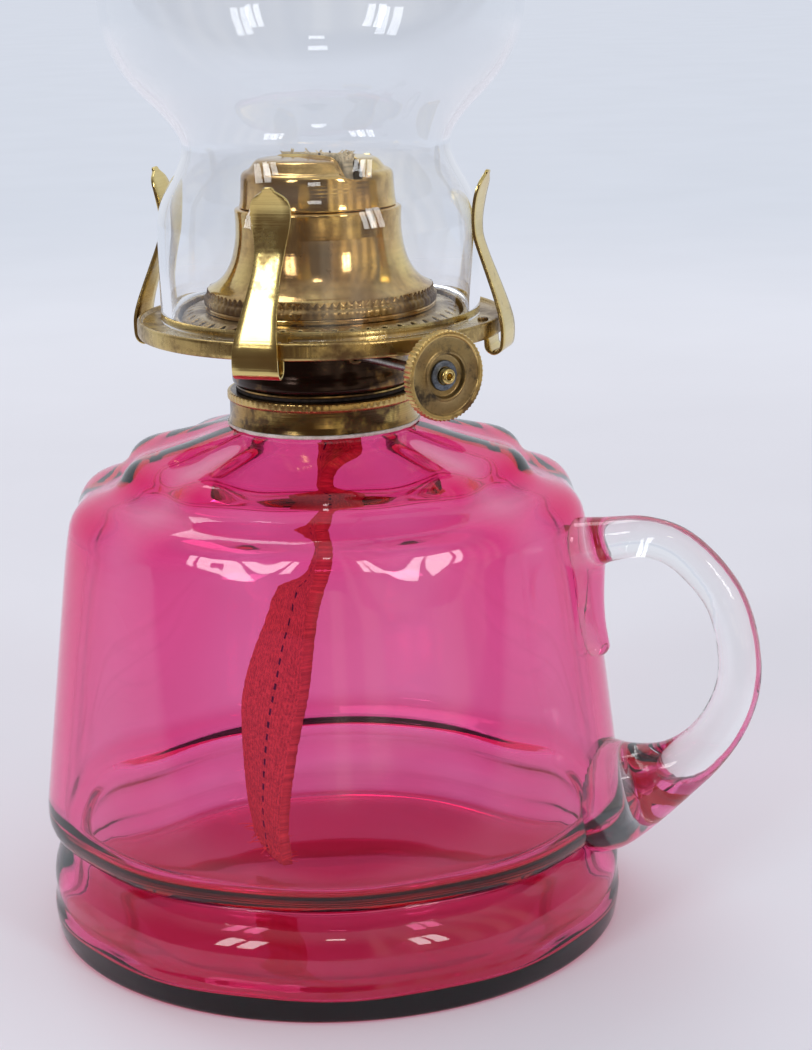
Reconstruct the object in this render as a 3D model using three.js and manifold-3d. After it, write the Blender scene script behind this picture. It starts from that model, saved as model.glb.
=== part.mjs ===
// Finger lamp: a coloured glass oil font with an applied handle, and a brass flat-wick burner with
// a prong gallery, a wick winder, a domed deflector and a clear glass chimney.
// Units are millimetres, +Z is up, and the origin is the middle of the font's flat bottom.
// Azimuth 0 faces -Y and grows towards +X, so azimuth 90 faces +X.
import * as THREE from "three";
import { mergeVertices } from "three/addons/utils/BufferGeometryUtils.js";
import Module from "manifold-3d";

const wasm = await Module();
wasm.setup();
const { Manifold } = wasm;

// Clearances and cutters
const gap = 0.3; // air between two pieces that touch on the real lamp
const seatGap = 0.05; // air between two flat faces stacked on each other
const overrun = 1; // how far a cutter runs past what it cuts
const weld = 1e-4; // vertices closer than this are one
const keptShare = 0.97; // a moved outline's points nearer than this share of its distance are dropped

// How finely round pieces are cut
const fontSegments = 40;
const threadSegments = 28;
const roundSegments = 28;
const chimneySegments = 32;
const smallSegments = 12;
const curveSteps = 3;
const innerCurveSteps = 2;
const bellSteps = 4;
const capSteps = 4;
const ovalSteps = 5;
const chimneySteps = 5;
const handleSteps = 22;
const tailSteps = 8;

// Wick and wick tube, which set the width of the burner
const wickWidth = 25;
const wickThickness = 2.6;
const wickStand = 4;
const tubePlay = 0.5;
const tubeSheet = 0.5;
const tubeTopDrop = 6;
const tubeTailDrop = 0.4;

// Font: each rise is from the height before it, and radii are out to the ridges between the panels
const footRadius = 66;
const footEdge = 2.5;
const footEdgeRise = 3;
const footShoulderRise = 11;
const waistInset = 5.4;
const waistRise = 8.6;
const undersideRise = 2.4;
const bodyRadius = 66.6;
const bodyUndersideInset = 4;
const bodyCornerRise = 8;
const wallTaper = 8.2;
const wallRise = 62;
const shoulderInset = 2.8;
const shoulderRise = 5.6;
const ledgeWidth = 10;
const ledgeRise = 4;
const stepFillet = 1.6;
const stepRise = 1.8;
const crownEdge = 2;
const crownEdgeRise = 1.8;
const crownSlopeWidth = 11.6;
const crownSlopeRise = 3.1;
const collarSeatRise = 3.9;
const neckTopDrop = 1.7;
const neckWall = 2;
const fontWall = 4.3;
const fontFloor = 6;
const panelCount = 10;
const panelDepth = 0.9;
const petalDepth = 2.2;

// Handle: a glass rod drawn out of the wall, in the plane at this azimuth
const handleAzimuth = 68;
const handleRod = 9.4;
const handleReachStand = 28;
const handleReachDrop = 25;
const handleTopStand = 14.6;
const handleTopDrop = 1.6;
const handleTopRootDrop = 4;
const handleFootStand = 7.4;
const handleFootRise = 4.5;
const handleFootWidth = 24;
const handleSwellStartShare = 0.72;
const handleDabThinShare = 0.25;
const tailDrop = 28;
const tailWidth = 13;
const tailThickness = 5;
const tailTipAngle = 17;
const tailTopAngle = 52;

// Collar and screw thread
const brassSheet = 0.45;
const collarHeight = 6.8;
const collarStand = 1.93;
const collarFlare = 0.3;
const collarSkirtClearance = 0.5;
const milledRingHeight = 1.8;
const milledRingStand = 0.45;
const threadTubeStand = 2.3;
const threadDepth = 0.35;
const threadPitch = 2.1;
const threadLength = 5;
const threadPlay = 0.42;
const threadRowsPerPitch = 4;
const plasterLip = 0.3;

// Washer, thread shell and burner cup
const washerThickness = 0.7;
const washerInset = 0.8;
const shellFlangeThickness = 0.5;
const cupStand = 4.4;
const cupWaistInset = 0.7;
const cupEdge = 1.4;
const cupSheet = 0.55;
const cupHeight = 12.95;
const cupFlareRise = 2.8;

// Gallery
const galleryRimStand = 5.3;
const galleryRimDrop = 2.7;
const galleryRimRise = 0.4;
const gallerySheet = 0.6;
const rimSheet = 0.7;
const guideRingRise = 1.4;
const guideRingThickness = 0.9;
const chimneyPlay = 0.4;

// Air plate
const airHoleCount = 50;
const airHoleRadius = 0.7;
const airHoleCornerCount = 6;
const airSlopeRise = 1.1;
const airSlopeWidth = 4;
const airPlateInnerWidth = 6.2;

// Prongs
const prongCount = 4;
const prongFirstAzimuth = -19;
const prongSheet = 0.7;
const prongRootWidth = 10;
const prongMiddleWidth = 6.2;
const prongSpadeWidth = 8.6;
const prongTipWidth = 2.6;
const prongTaperShare = 0.72;
const prongHeight = 32.2;
const prongContactHeight = 21;
const prongTipFlare = 2.6;
const prongBendDrop = 3.4;
const prongBendStand = 1.9;
const rivetRadius = 0.7;
const rivetHeadRadius = 1.2;
const rivetHeadHeight = 0.7;

// Deflector: the bell, its cap and the toothed ring round its foot
const bellFlangeWidth = 1.5;
const bellFlangeHeight = 0.9;
const bellSpread = 6.8;
const bellTopMargin = 2.9;
const bellHeight = 22.6;
const bellSheet = 0.5;
const capHeight = 10;
const capWallHeight = 1.8;
const capInset = 0.5;
const slotMargin = 4;
const slotWidth = 5;
const ringToothCount = 48;
const ringToothDepth = 0.45;
const ringHeight = 2;

// Winder
const winderAzimuth = 33;
const spurRadius = 3.6;
const spurToothDepth = 0.9;
const spurToothCount = 12;
const spurThickness = 0.8;
const spurSpacing = 12;
const spurSlotHeight = 6.4;
const spurSlotWidth = 1.8;
const spindleRadius = 1.1;
const spindleDrop = 4.7;
const spindleTail = 2;
const knobStand = 13.5;
const knobRadius = 9.3;
const knobWidth = 2.6;
const knobRimWidth = 1.1;
const knobFieldDrop = 0.6;
const knobRecessRadius = 4.8;
const knobRecessDrop = 1.4;
const knobToothCount = 56;
const knobToothDepth = 0.35;
const knobHubRadius = 3.2;
const knobHubLength = 0.5;
const knobWebThickness = 0.8;
const knobWasherRadius = 3.2;
const knobWasherThickness = 0.5;
const stemEndRadius = 1.65;
const stemEndBore = 0.75;
const stemEndLength = 2.2;
const boxSheet = 0.6;
const boxMargin = 8;
const boxHeight = 9;
const boxBack = 1.4;
const bushRadius = 2.2;
const bushLength = 5;

// Wick tail below the tube: the rows of shares are of its length, its sideways shift and its turn
const tailFloorGap = 7.8;
const tailShift = 12.5;
const tailTurn = 42;
const tailStraight = 12;
const tailShares = [
  [0, 0, winderAzimuth / tailTurn],
  [0.12, 0.04, 0.42],
  [0.24, 0.16, 0.05],
  [0.36, 0.4, 0.35],
  [0.5, 0.75, 0.85],
  [0.64, 0.95, 1],
  [0.78, 1, 0.8],
  [0.9, 1.02, 0.48],
  [1, 0.94, 0.6],
];

// Chimney
const chimneyRadius = 35.2;
const chimneyWall = 1.6;
const chimneyBaseWall = 2.2;
const chimneyHeight = 216;
const chimneyShoulder = 21.6;
const chimneyWaistInset = 6.2;
const chimneyWaist = 37;
const bulbRadius = 45.7;
const bulbMiddle = 69.5;
const chimneyTopRadius = 25;
const chimneyNeck = 165;

const degrees = THREE.MathUtils.degToRad;
const smooth = THREE.MathUtils.smoothstep;

// A point on an outline: distance from the axis, then height.
const at = (radius, height) => new THREE.Vector2(radius, height);

// A closed outline turned about +Z.
function turned(outline, segments = roundSegments) {
  const loop = [...outline];
  if (THREE.ShapeUtils.area(loop) < 0) loop.reverse();
  const onAxis = loop.filter((point) => point.x === 0).length > 1;
  if (onAxis) {
    while (loop[0].x !== 0 || loop[loop.length - 1].x !== 0) loop.push(loop.shift());
  } else {
    loop.push(loop[0].clone());
  }
  return new THREE.LatheGeometry(loop, segments).rotateX(Math.PI / 2);
}

// The manifold solid of a closed geometry.
function solid(geometry) {
  const plain = geometry.index ? geometry.toNonIndexed() : geometry.clone();
  const bare = new THREE.BufferGeometry().setAttribute("position", plain.getAttribute("position"));
  const merged = mergeVertices(bare, weld);
  return new Manifold(
    new wasm.Mesh({
      numProp: 3,
      vertProperties: merged.attributes.position.array,
      triVerts: new Uint32Array(merged.index.array),
    }),
  );
}

// The geometry of a manifold solid.
function geometryOf(body) {
  const mesh = body.getMesh();
  const geometry = new THREE.BufferGeometry();
  geometry.setAttribute("position", new THREE.BufferAttribute(mesh.vertProperties, mesh.numProp));
  geometry.setIndex(new THREE.BufferAttribute(mesh.triVerts, 1));
  geometry.computeVertexNormals();
  return geometry;
}

// One closed solid through a row of rings with equal numbers of points, capped at both ends.
function lofted(rings) {
  const count = rings[0].length;
  const points = rings.flat();
  const faces = [];
  for (let i = 0; i + 1 < rings.length; i += 1) {
    for (let j = 0; j < count; j += 1) {
      const a = i * count + j;
      const b = i * count + ((j + 1) % count);
      faces.push(a, b, a + count, b, b + count, a + count);
    }
  }
  const last = points.length - count;
  const first = rings[0];
  const end = rings[rings.length - 1];
  points.push(centreOf(first), centreOf(end));
  for (let j = 0; j < count; j += 1) {
    const next = (j + 1) % count;
    faces.push(points.length - 2, next, j);
    faces.push(points.length - 1, last + j, last + next);
  }
  const geometry = new THREE.BufferGeometry().setFromPoints(points);
  if (signedVolume(points, faces) < 0) faces.reverse();
  geometry.setIndex(faces);
  geometry.computeVertexNormals();
  return geometry;
}

// The middle of a ring of points.
function centreOf(ring) {
  const sum = ring.reduce((total, point) => total.add(point), new THREE.Vector3());
  return sum.divideScalar(ring.length);
}

// The volume inside a list of faces, negative where they face in.
function signedVolume(points, faces) {
  let total = 0;
  const product = new THREE.Vector3();
  for (let i = 0; i < faces.length; i += 3) {
    const [a, b, c] = faces.slice(i, i + 3).map((n) => points[n]);
    total += a.dot(product.crossVectors(b, c));
  }
  return total;
}

// A prism with teeth round it, standing on z = 0.
function toothed(radius, depth, teeth, height) {
  const shape = new THREE.Shape();
  for (let i = 0; i < teeth * 2; i += 1) {
    const angle = (Math.PI * i) / teeth;
    const r = i % 2 ? radius - depth : radius;
    const point = [r * Math.cos(angle), r * Math.sin(angle)];
    if (i) shape.lineTo(...point);
    else shape.moveTo(...point);
  }
  return new THREE.ExtrudeGeometry(shape, { depth: height, bevelEnabled: false });
}

// A plain round bar along z from one height to another.
function bar(radius, low, high, segments = smallSegments) {
  const geometry = new THREE.CylinderGeometry(radius, radius, high - low, segments);
  return solid(geometry.rotateX(Math.PI / 2)).translate([0, 0, (low + high) / 2]);
}

// A block between two corners.
function block(low, high) {
  const size = high.map((value, i) => value - low[i]);
  const middle = high.map((value, i) => (value + low[i]) / 2);
  return solid(new THREE.BoxGeometry(...size)).translate(middle);
}

// A colour that stays as it is written, with its finish.
function finish(color, roughness, metalness, extra = {}) {
  return new THREE.MeshStandardMaterial({ color, roughness, metalness, ...extra });
}

// A named mesh.
function piece(name, geometry, material) {
  const mesh = new THREE.Mesh(geometry, material);
  mesh.name = name;
  return mesh;
}

// A group whose +X points out at an azimuth.
function facing(azimuth, ...children) {
  const group = new THREE.Group();
  group.rotation.z = degrees(azimuth - 90);
  group.add(...children);
  return group;
}

const cranberryGlass = () => finish(0xb8225e, 0.05, 0, { transparent: true, opacity: 0.55 });
const clearGlass = () => finish(0xe9eef4, 0.04, 0, { transparent: true, opacity: 0.3 });
const brass = () => finish(0xb08d3f, 0.3, 1);
const wornBrass = () => finish(0x7d6231, 0.42, 1);
const roseBrass = () => finish(0xc08a55, 0.25, 1);
const darkMetal = () => finish(0x3a3733, 0.5, 0.8);
const steel = () => finish(0x8f8b84, 0.4, 1);
const plaster = () => finish(0xdcd6ca, 0.9, 0);
const felt = () => finish(0x1f1c1a, 0.85, 0);
const cotton = () => finish(0xd9c6a4, 0.95, 0);

// Heights and radii of the font, worked out from its rises and insets
const footShoulderHeight = footEdgeRise + footShoulderRise;
const waistHeight = footShoulderHeight + waistRise;
const bodyUndersideHeight = waistHeight + undersideRise;
const bodyCornerHeight = bodyUndersideHeight + bodyCornerRise;
const wallTopHeight = bodyCornerHeight + wallRise;
const shoulderHeight = wallTopHeight + shoulderRise;
const ledgeHeight = shoulderHeight + ledgeRise;
const stepHeight = ledgeHeight + stepRise;
const crownEdgeHeight = stepHeight + crownEdgeRise;
const crownSlopeHeight = crownEdgeHeight + crownSlopeRise;
const collarSeatHeight = crownSlopeHeight + collarSeatRise;
const waistRadius = footRadius - waistInset;
const wallTopRadius = bodyRadius - wallTaper;
const shoulderRadius = wallTopRadius - shoulderInset;
const stepRadius = shoulderRadius - ledgeWidth;
const crownEdgeRadius = stepRadius - crownEdge;

// Radii of the screw joint, which goes round the wick tube
const tubeHalfWidth = wickWidth / 2 + tubePlay + tubeSheet;
const tubeHalfThickness = wickThickness / 2 + tubePlay + tubeSheet;
const threadRadius = tubeHalfWidth + threadTubeStand;
const femaleRadius = threadRadius - threadDepth + threadPlay;
const neckBore = femaleRadius + threadDepth + brassSheet + gap;
const neckRadius = neckBore + neckWall;
const collarRadius = neckRadius + collarStand;
const collarInnerRadius = collarRadius - brassSheet;
const cupRadius = threadRadius + cupStand;
const cupWaistRadius = cupRadius - cupWaistInset;

// Heights from the collar up to the flame
const collarBottom = collarSeatHeight + collarSkirtClearance + collarFlare + gap;
const collarTop = collarBottom + collarHeight;
const neckTopHeight = collarTop - neckTopDrop;
const threadTop = collarTop - 2 * brassSheet;
const threadBottom = threadTop - threadLength;
const washerBottom = collarTop + seatGap;
const washerTop = washerBottom + washerThickness;
const shellFlangeBottom = washerTop + seatGap;
const shellFlangeTop = shellFlangeBottom + shellFlangeThickness;
const cupBottom = shellFlangeTop + seatGap;
const cupFlangeTop = cupBottom + cupHeight;
const cupFlareHeight = cupFlangeTop - cupFlareRise;
const airFlangeBottom = cupFlangeTop + seatGap;
const airFlangeTop = airFlangeBottom + cupSheet;
const galleryUnderside = airFlangeTop + gap;
const galleryHeight = galleryUnderside + gallerySheet;
const airSlopeBottom = galleryHeight + guideRingRise - cupSheet;
const airTop = airSlopeBottom + airSlopeRise;
const bellBottom = airTop + seatGap;
const bellTop = bellBottom + bellHeight;
const capBottom = bellTop + seatGap;
const capTop = capBottom + capHeight;
const wickTop = capTop + wickStand / 2;
const spindleHeight = galleryUnderside - spindleDrop;

// Radii of the gallery, the air plate, the prongs and the deflector
const galleryRadius = chimneyRadius + galleryRimStand;
const rimInnerRadius = galleryRadius - rimSheet;
const chimneyInnerRadius = chimneyRadius - chimneyBaseWall;
const guideRingRadius = chimneyInnerRadius - chimneyPlay;
const guideRingInner = guideRingRadius - guideRingThickness;
const prongDropRadius = Math.sqrt((rimInnerRadius - gap) ** 2 - (prongRootWidth / 2) ** 2) - prongSheet / 2;
const rivetCircle = prongDropRadius - prongSheet / 2 - gap - rivetHeadRadius;
const airRiserRadius = guideRingInner - gap;
const airFlangeRadius = airRiserRadius + 2 * guideRingThickness;
const slotLength = wickWidth + slotMargin;
const bellTopRadius = slotLength / 2 + bellTopMargin;
const bellFootRadius = bellTopRadius + bellSpread;
const bellFlangeRadius = bellFootRadius + bellFlangeWidth;
const airPlateInnerRadius = bellFootRadius - airPlateInnerWidth;

// Places on the winder and round the gallery
const spindleOffset = wickThickness / 2 + gap + spurRadius;
const knobFace = galleryRadius + knobStand;
const spurPlaces = [-spurSpacing / 2, spurSpacing / 2];
const boxLength = spurSpacing + boxMargin;
const prongStep = 360 / prongCount;
const prongAzimuths = Array.from({ length: prongCount }, (_, i) => prongFirstAzimuth + prongStep * i);

// The font's outer outline, from the middle of its bottom to the top of its neck.
function fontOutline(steps = curveSteps) {
  const path = new THREE.Path();
  path.moveTo(0, 0);
  path.lineTo(footRadius - footEdge, 0);
  path.quadraticCurveTo(footRadius, 0, footRadius, footEdgeRise);
  path.quadraticCurveTo(footRadius, footShoulderHeight, waistRadius, waistHeight);
  const underside = bodyRadius - bodyUndersideInset;
  path.quadraticCurveTo(waistRadius, bodyUndersideHeight, underside, bodyUndersideHeight);
  path.quadraticCurveTo(bodyRadius, bodyUndersideHeight, bodyRadius, bodyCornerHeight);
  path.lineTo((bodyRadius + wallTopRadius) / 2, (bodyCornerHeight + wallTopHeight) / 2);
  path.lineTo(wallTopRadius, wallTopHeight);
  path.quadraticCurveTo(wallTopRadius, shoulderHeight, shoulderRadius, shoulderHeight);
  path.lineTo(stepRadius + stepFillet, ledgeHeight);
  path.quadraticCurveTo(stepRadius, ledgeHeight, stepRadius, stepHeight);
  path.quadraticCurveTo(stepRadius, crownEdgeHeight, crownEdgeRadius, crownEdgeHeight);
  path.quadraticCurveTo(
    crownEdgeRadius - crownSlopeWidth, crownSlopeHeight,
    collarRadius + overrun, collarSeatHeight,
  );
  path.quadraticCurveTo(neckRadius, collarSeatHeight, neckRadius, collarBottom + overrun);
  path.lineTo(neckRadius, neckTopHeight);
  return path.getPoints(steps);
}

// An outline moved sideways by a distance, to the left of its direction where that is positive.
// Points that come closer to the outline than the distance are left out.
function offsetOutline(outline, distance) {
  const moved = outline.map((point, i) => {
    const before = outline[Math.max(i - 1, 0)];
    const after = outline[Math.min(i + 1, outline.length - 1)];
    const along = new THREE.Vector2().subVectors(after, before).normalize();
    return at(point.x - along.y * distance, point.y + along.x * distance);
  });
  const least = Math.abs(distance) * keptShare;
  return moved.filter((point) => outline.every((other) => other.distanceTo(point) >= least));
}

// The font's closed outline: the outer one, then the inner one back down to the floor.
function fontSection() {
  const outer = fontOutline();
  const inner = offsetOutline(fontOutline(innerCurveSteps), fontWall)
    .filter((point) => point.y > fontFloor && point.y < collarSeatHeight - fontWall / 2)
    .map((point) => at(Math.max(point.x, neckBore), point.y));
  inner.unshift(at(0, fontFloor), at(inner[0].x - footEdge, fontFloor));
  inner.push(at(neckBore, collarSeatHeight), at(neckBore, neckTopHeight));
  return [...outer, ...inner.reverse()];
}

// How deep the panels are at a height: shallow on the wall, deep on the shoulder, none elsewhere.
function panelDepthAt(height) {
  const wall = panelDepth * smooth(height, waistHeight, bodyCornerHeight);
  const petals = (petalDepth - panelDepth) * smooth(height, wallTopHeight - fontWall * 2, shoulderHeight);
  return (wall + petals) * (1 - smooth(height, stepHeight, collarSeatHeight));
}

// Turns a round geometry into a panelled one, with a ridge at azimuth 0.
function panelled(geometry) {
  const position = geometry.getAttribute("position");
  for (let i = 0; i < position.count; i += 1) {
    const x = position.getX(i);
    const y = position.getY(i);
    const radius = Math.hypot(x, y);
    if (radius === 0) continue;
    const wave = (1 - Math.cos(panelCount * Math.atan2(x, -y))) / 2;
    const share = 1 - (panelDepthAt(position.getZ(i)) * wave) / Math.max(radius, neckBore);
    position.setXY(i, x * share, y * share);
  }
  return geometry;
}

function oilFont() {
  return panelled(turned(fontSection(), fontSegments));
}

// The font's outside, grown by the gap, for cutting what sits against it.
function fontEnvelope() {
  const grown = offsetOutline(fontOutline(), -gap).map((point) => at(Math.max(point.x, 0), point.y));
  const top = grown[grown.length - 1];
  grown.push(at(top.x, top.y + overrun), at(0, top.y + overrun), at(0, grown[0].y));
  return solid(panelled(turned(grown, fontSegments)));
}

// A ring of points about a path's point, across the path's direction in the x-z plane.
function rodRing(centre, along, halfDepth, halfWidth) {
  const ring = [];
  const across = new THREE.Vector3(-along.y, 0, along.x);
  for (let i = 0; i < smallSegments; i += 1) {
    const angle = (2 * Math.PI * i) / smallSegments;
    const point = new THREE.Vector3(centre.x, Math.sin(angle) * halfWidth, centre.y);
    ring.push(point.addScaledVector(across, Math.cos(angle) * halfDepth));
  }
  return ring;
}

// The handle's rod, which swells into a broad dab at the lower root, and its drawn-out tail.
function handle() {
  const wallAt = (height) =>
    THREE.MathUtils.mapLinear(height, bodyCornerHeight, wallTopHeight, bodyRadius, wallTopRadius);
  const rootHeight = wallTopHeight - handleTopRootDrop;
  const topHeight = wallTopHeight - handleTopDrop;
  const reachHeight = wallTopHeight - handleReachDrop;
  const footHeight = bodyCornerHeight + handleFootRise;
  const reach = bodyRadius + handleReachStand;
  const spine = new THREE.SplineCurve([
    at(wallAt(rootHeight) - gap, rootHeight),
    at(wallTopRadius + handleTopStand, topHeight),
    at(reach - handleRod, (topHeight + reachHeight + handleRod) / 2),
    at(reach, reachHeight),
    at(reach - handleRod / 2, (reachHeight + footHeight) / 2 - handleRod / 4),
    at(bodyRadius + handleFootStand + handleRod / 2, footHeight + handleRod / 4),
    at(bodyRadius - gap, bodyCornerHeight),
  ]);
  const rings = [];
  for (let i = 0; i <= handleSteps; i += 1) {
    const share = i / handleSteps;
    const swell = smooth(share, handleSwellStartShare, 1);
    const half = THREE.MathUtils.lerp(handleRod, handleFootWidth, swell) / 2;
    const depth = half * (1 - swell * handleDabThinShare);
    rings.push(rodRing(spine.getPoint(share), spine.getTangent(share), depth, half));
  }
  const tailTop = rootHeight + handleRod / 2;
  const tailRings = [];
  for (let i = 0; i <= tailSteps; i += 1) {
    const share = i / tailSteps;
    const height = THREE.MathUtils.lerp(wallTopHeight - tailDrop, tailTop, share);
    const full = Math.sin(degrees(THREE.MathUtils.lerp(tailTipAngle, 180 - tailTopAngle, share)));
    const halfWidth = (tailWidth / 2) * full;
    tailRings.push(rodRing(at(wallAt(height), height), at(0, 1), tailThickness * full, halfWidth));
  }
  return geometryOf(
    solid(lofted(rings))
      .add(solid(lofted(tailRings)))
      .subtract(fontEnvelope().rotate([0, 0, 90 - handleAzimuth])),
  );
}

// Waves a turned geometry into a rolled screw thread between two heights, inside a radius.
function threaded(geometry, low, high, within) {
  const position = geometry.getAttribute("position");
  for (let i = 0; i < position.count; i += 1) {
    const x = position.getX(i);
    const y = position.getY(i);
    const z = position.getZ(i);
    const radius = Math.hypot(x, y);
    if (radius > within || z < low || z > high) continue;
    const wave = Math.cos((2 * Math.PI * z) / threadPitch - Math.atan2(y, x));
    const share = 1 + (threadDepth * wave) / radius;
    position.setXY(i, x * share, y * share);
  }
  return geometry;
}

// The heights of the thread's rows between two heights.
function threadRows(low, high) {
  const count = Math.max(2, Math.round(((high - low) / threadPitch) * threadRowsPerPitch));
  return Array.from({ length: count + 1 }, (_, i) => THREE.MathUtils.lerp(low, high, i / count));
}

function collar() {
  const ringBottom = collarTop - milledRingHeight;
  const ringRadius = collarRadius + milledRingStand;
  const rows = threadRows(threadBottom, threadTop);
  const outline = [
    at(collarInnerRadius + collarFlare, collarBottom),
    at(collarRadius + collarFlare, collarBottom),
    at(collarRadius, collarBottom + 2 * brassSheet),
    at(collarRadius, ringBottom),
    at(ringRadius, ringBottom + brassSheet / 2),
    at(ringRadius, collarTop - brassSheet / 2),
    at(collarRadius, collarTop),
    at(femaleRadius, collarTop),
    ...rows.map((height) => at(femaleRadius, height)).reverse(),
    ...rows.map((height) => at(femaleRadius + brassSheet, height)),
    at(femaleRadius + brassSheet, collarTop - brassSheet),
    at(collarInnerRadius, collarTop - brassSheet),
    at(collarInnerRadius, collarBottom + 2 * brassSheet),
  ];
  return threaded(turned(outline, threadSegments), threadBottom, threadTop, neckBore);
}

function plasterRing() {
  const outer = collarInnerRadius - gap / 2;
  const outline = [
    at(neckRadius, collarSeatHeight),
    at(collarRadius + collarFlare + plasterLip, collarSeatHeight),
    at(collarRadius + collarFlare + plasterLip, collarBottom - gap / 2),
    at(outer, collarBottom - gap / 2),
    at(outer, neckTopHeight - gap),
    at(neckRadius, neckTopHeight - gap),
  ];
  return geometryOf(solid(turned(outline, fontSegments)).subtract(fontEnvelope()));
}

function flatRing(inner, outer, low, high, segments = roundSegments) {
  return turned([at(inner, low), at(outer, low), at(outer, high), at(inner, high)], segments);
}

function threadShell() {
  const outer = threadRadius - threadDepth;
  const inner = outer - brassSheet;
  const shellBottom = threadBottom + gap;
  const rows = threadRows(shellBottom, threadTop);
  const outline = [
    at(inner, shellFlangeTop),
    ...rows.map((height) => at(inner, height)).reverse(),
    ...rows.map((height) => at(outer, height)),
    at(outer, shellFlangeBottom),
    at(cupRadius - washerInset, shellFlangeBottom),
    at(cupRadius - washerInset, shellFlangeTop),
  ];
  return threaded(turned(outline, threadSegments), shellBottom, threadTop, neckBore);
}

function burnerCup() {
  const flangeRadius = airFlangeRadius - guideRingThickness;
  const outline = [
    at(0, cupBottom),
    at(cupRadius - cupEdge, cupBottom),
    at(cupRadius, cupBottom + cupEdge),
    at(cupWaistRadius, cupBottom + 3 * cupEdge),
    at(cupWaistRadius, cupFlareHeight),
    at(cupRadius + cupEdge, cupFlangeTop - cupSheet),
    at(flangeRadius, cupFlangeTop - cupSheet),
    at(flangeRadius, cupFlangeTop),
    at(cupRadius + cupEdge - cupSheet, cupFlangeTop),
    at(cupWaistRadius - cupSheet, cupFlareHeight),
    at(cupWaistRadius - cupSheet, cupBottom + 3 * cupEdge),
    at(cupRadius - cupSheet, cupBottom + cupEdge),
    at(cupRadius - cupEdge - cupSheet, cupBottom + cupSheet),
    at(0, cupBottom + cupSheet),
  ];
  const tubeHole = block(
    [-tubeHalfWidth - gap, -tubeHalfThickness - gap, cupBottom - overrun],
    [tubeHalfWidth + gap, tubeHalfThickness + gap, cupBottom + cupSheet + overrun],
  );
  const bushHole = alongSpindle(bar(bushRadius + gap, 0, cupRadius + cupEdge));
  return geometryOf(solid(turned(outline)).subtract(tubeHole).subtract(bushHole));
}

// Lays a solid built along +Z on the spindle's line, so that its z becomes the distance out.
function alongSpindle(body) {
  return body.rotate([0, 90, 0]).translate([0, -spindleOffset, spindleHeight]);
}

function gallery() {
  const rimTop = galleryHeight + galleryRimRise;
  const outline = [
    at(guideRingInner, galleryUnderside),
    at(rimInnerRadius, galleryUnderside),
    at(rimInnerRadius, galleryHeight - galleryRimDrop),
    at(galleryRadius - rimSheet / 2, galleryHeight - galleryRimDrop - rimSheet / 2),
    at(galleryRadius, galleryHeight - galleryRimDrop),
    at(galleryRadius, rimTop),
    at(galleryRadius - rimSheet / 2, rimTop + rimSheet / 2),
    at(rimInnerRadius, rimTop),
    at(rimInnerRadius, galleryHeight),
    at(guideRingRadius, galleryHeight),
    at(guideRingRadius, galleryHeight + guideRingRise),
    at(guideRingInner, galleryHeight + guideRingRise),
  ];
  const dish = solid(turned(outline, fontSegments));
  const holes = prongAzimuths.map((azimuth) =>
    bar(rivetRadius + gap, galleryUnderside - overrun, galleryHeight + overrun, smallSegments)
      .translate([rivetCircle, 0, 0])
      .rotate([0, 0, azimuth - 90]),
  );
  return geometryOf(dish.subtract(Manifold.union(holes)));
}

function airPlate() {
  const slopeTopRadius = airRiserRadius - airSlopeWidth;
  const outline = [
    at(airRiserRadius - cupSheet, airFlangeBottom),
    at(airFlangeRadius, airFlangeBottom),
    at(airFlangeRadius, airFlangeTop),
    at(airRiserRadius, airFlangeTop),
    at(airRiserRadius, airSlopeBottom),
    at(slopeTopRadius, airTop),
    at(airPlateInnerRadius, airTop),
    at(airPlateInnerRadius, airTop - cupSheet),
    at(slopeTopRadius, airTop - cupSheet),
    at(airRiserRadius - cupSheet, airSlopeBottom - cupSheet),
  ];
  const hole = bar(airHoleRadius, airFlangeBottom, airTop + overrun, airHoleCornerCount);
  const holes = Array.from({ length: airHoleCount }, (_, i) =>
    hole.translate([airRiserRadius - airSlopeWidth / 2, 0, 0]).rotate([0, 0, (360 / airHoleCount) * i]),
  );
  return geometryOf(solid(turned(outline)).subtract(Manifold.union(holes)));
}

// Stations along a prong: distance out, height and width of the strip's middle.
function prongStations() {
  const footHeight = airFlangeTop - gap - prongSheet / 2;
  const bendRadius = galleryRadius + prongBendStand;
  const bendHeight = galleryHeight - galleryRimDrop - prongBendDrop;
  const contactRadius = chimneyRadius + gap + prongSheet / 2;
  const contactHeight = galleryHeight + prongContactHeight;
  const tipHeight = galleryHeight + prongHeight;
  const shoulderWidth = (prongRootWidth + prongMiddleWidth) / 2;
  return [
    [airFlangeRadius + gap, footHeight, prongRootWidth],
    [rivetCircle + rivetHeadRadius, footHeight, prongRootWidth],
    [prongDropRadius, footHeight - prongSheet, prongRootWidth],
    [prongDropRadius, (footHeight + bendHeight) / 2, prongRootWidth],
    [(prongDropRadius + bendRadius) / 2, bendHeight, prongRootWidth],
    [bendRadius, bendHeight + prongBendStand, prongRootWidth],
    [bendRadius, galleryHeight, prongRootWidth],
    [(bendRadius * 2 + contactRadius) / 3, galleryHeight + prongContactHeight / 4, shoulderWidth],
    [(bendRadius + contactRadius * 3) / 4, galleryHeight + (prongContactHeight * 2) / 3, prongMiddleWidth],
    [contactRadius, contactHeight, (prongMiddleWidth + prongSpadeWidth) / 2],
    [contactRadius + prongTipFlare / 4, contactHeight + (tipHeight - contactHeight) / 2, prongSpadeWidth],
    [contactRadius + (prongTipFlare * 2) / 3, tipHeight - prongTipWidth, prongSpadeWidth * prongTaperShare],
    [contactRadius + prongTipFlare, tipHeight, prongTipWidth],
  ];
}

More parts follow.
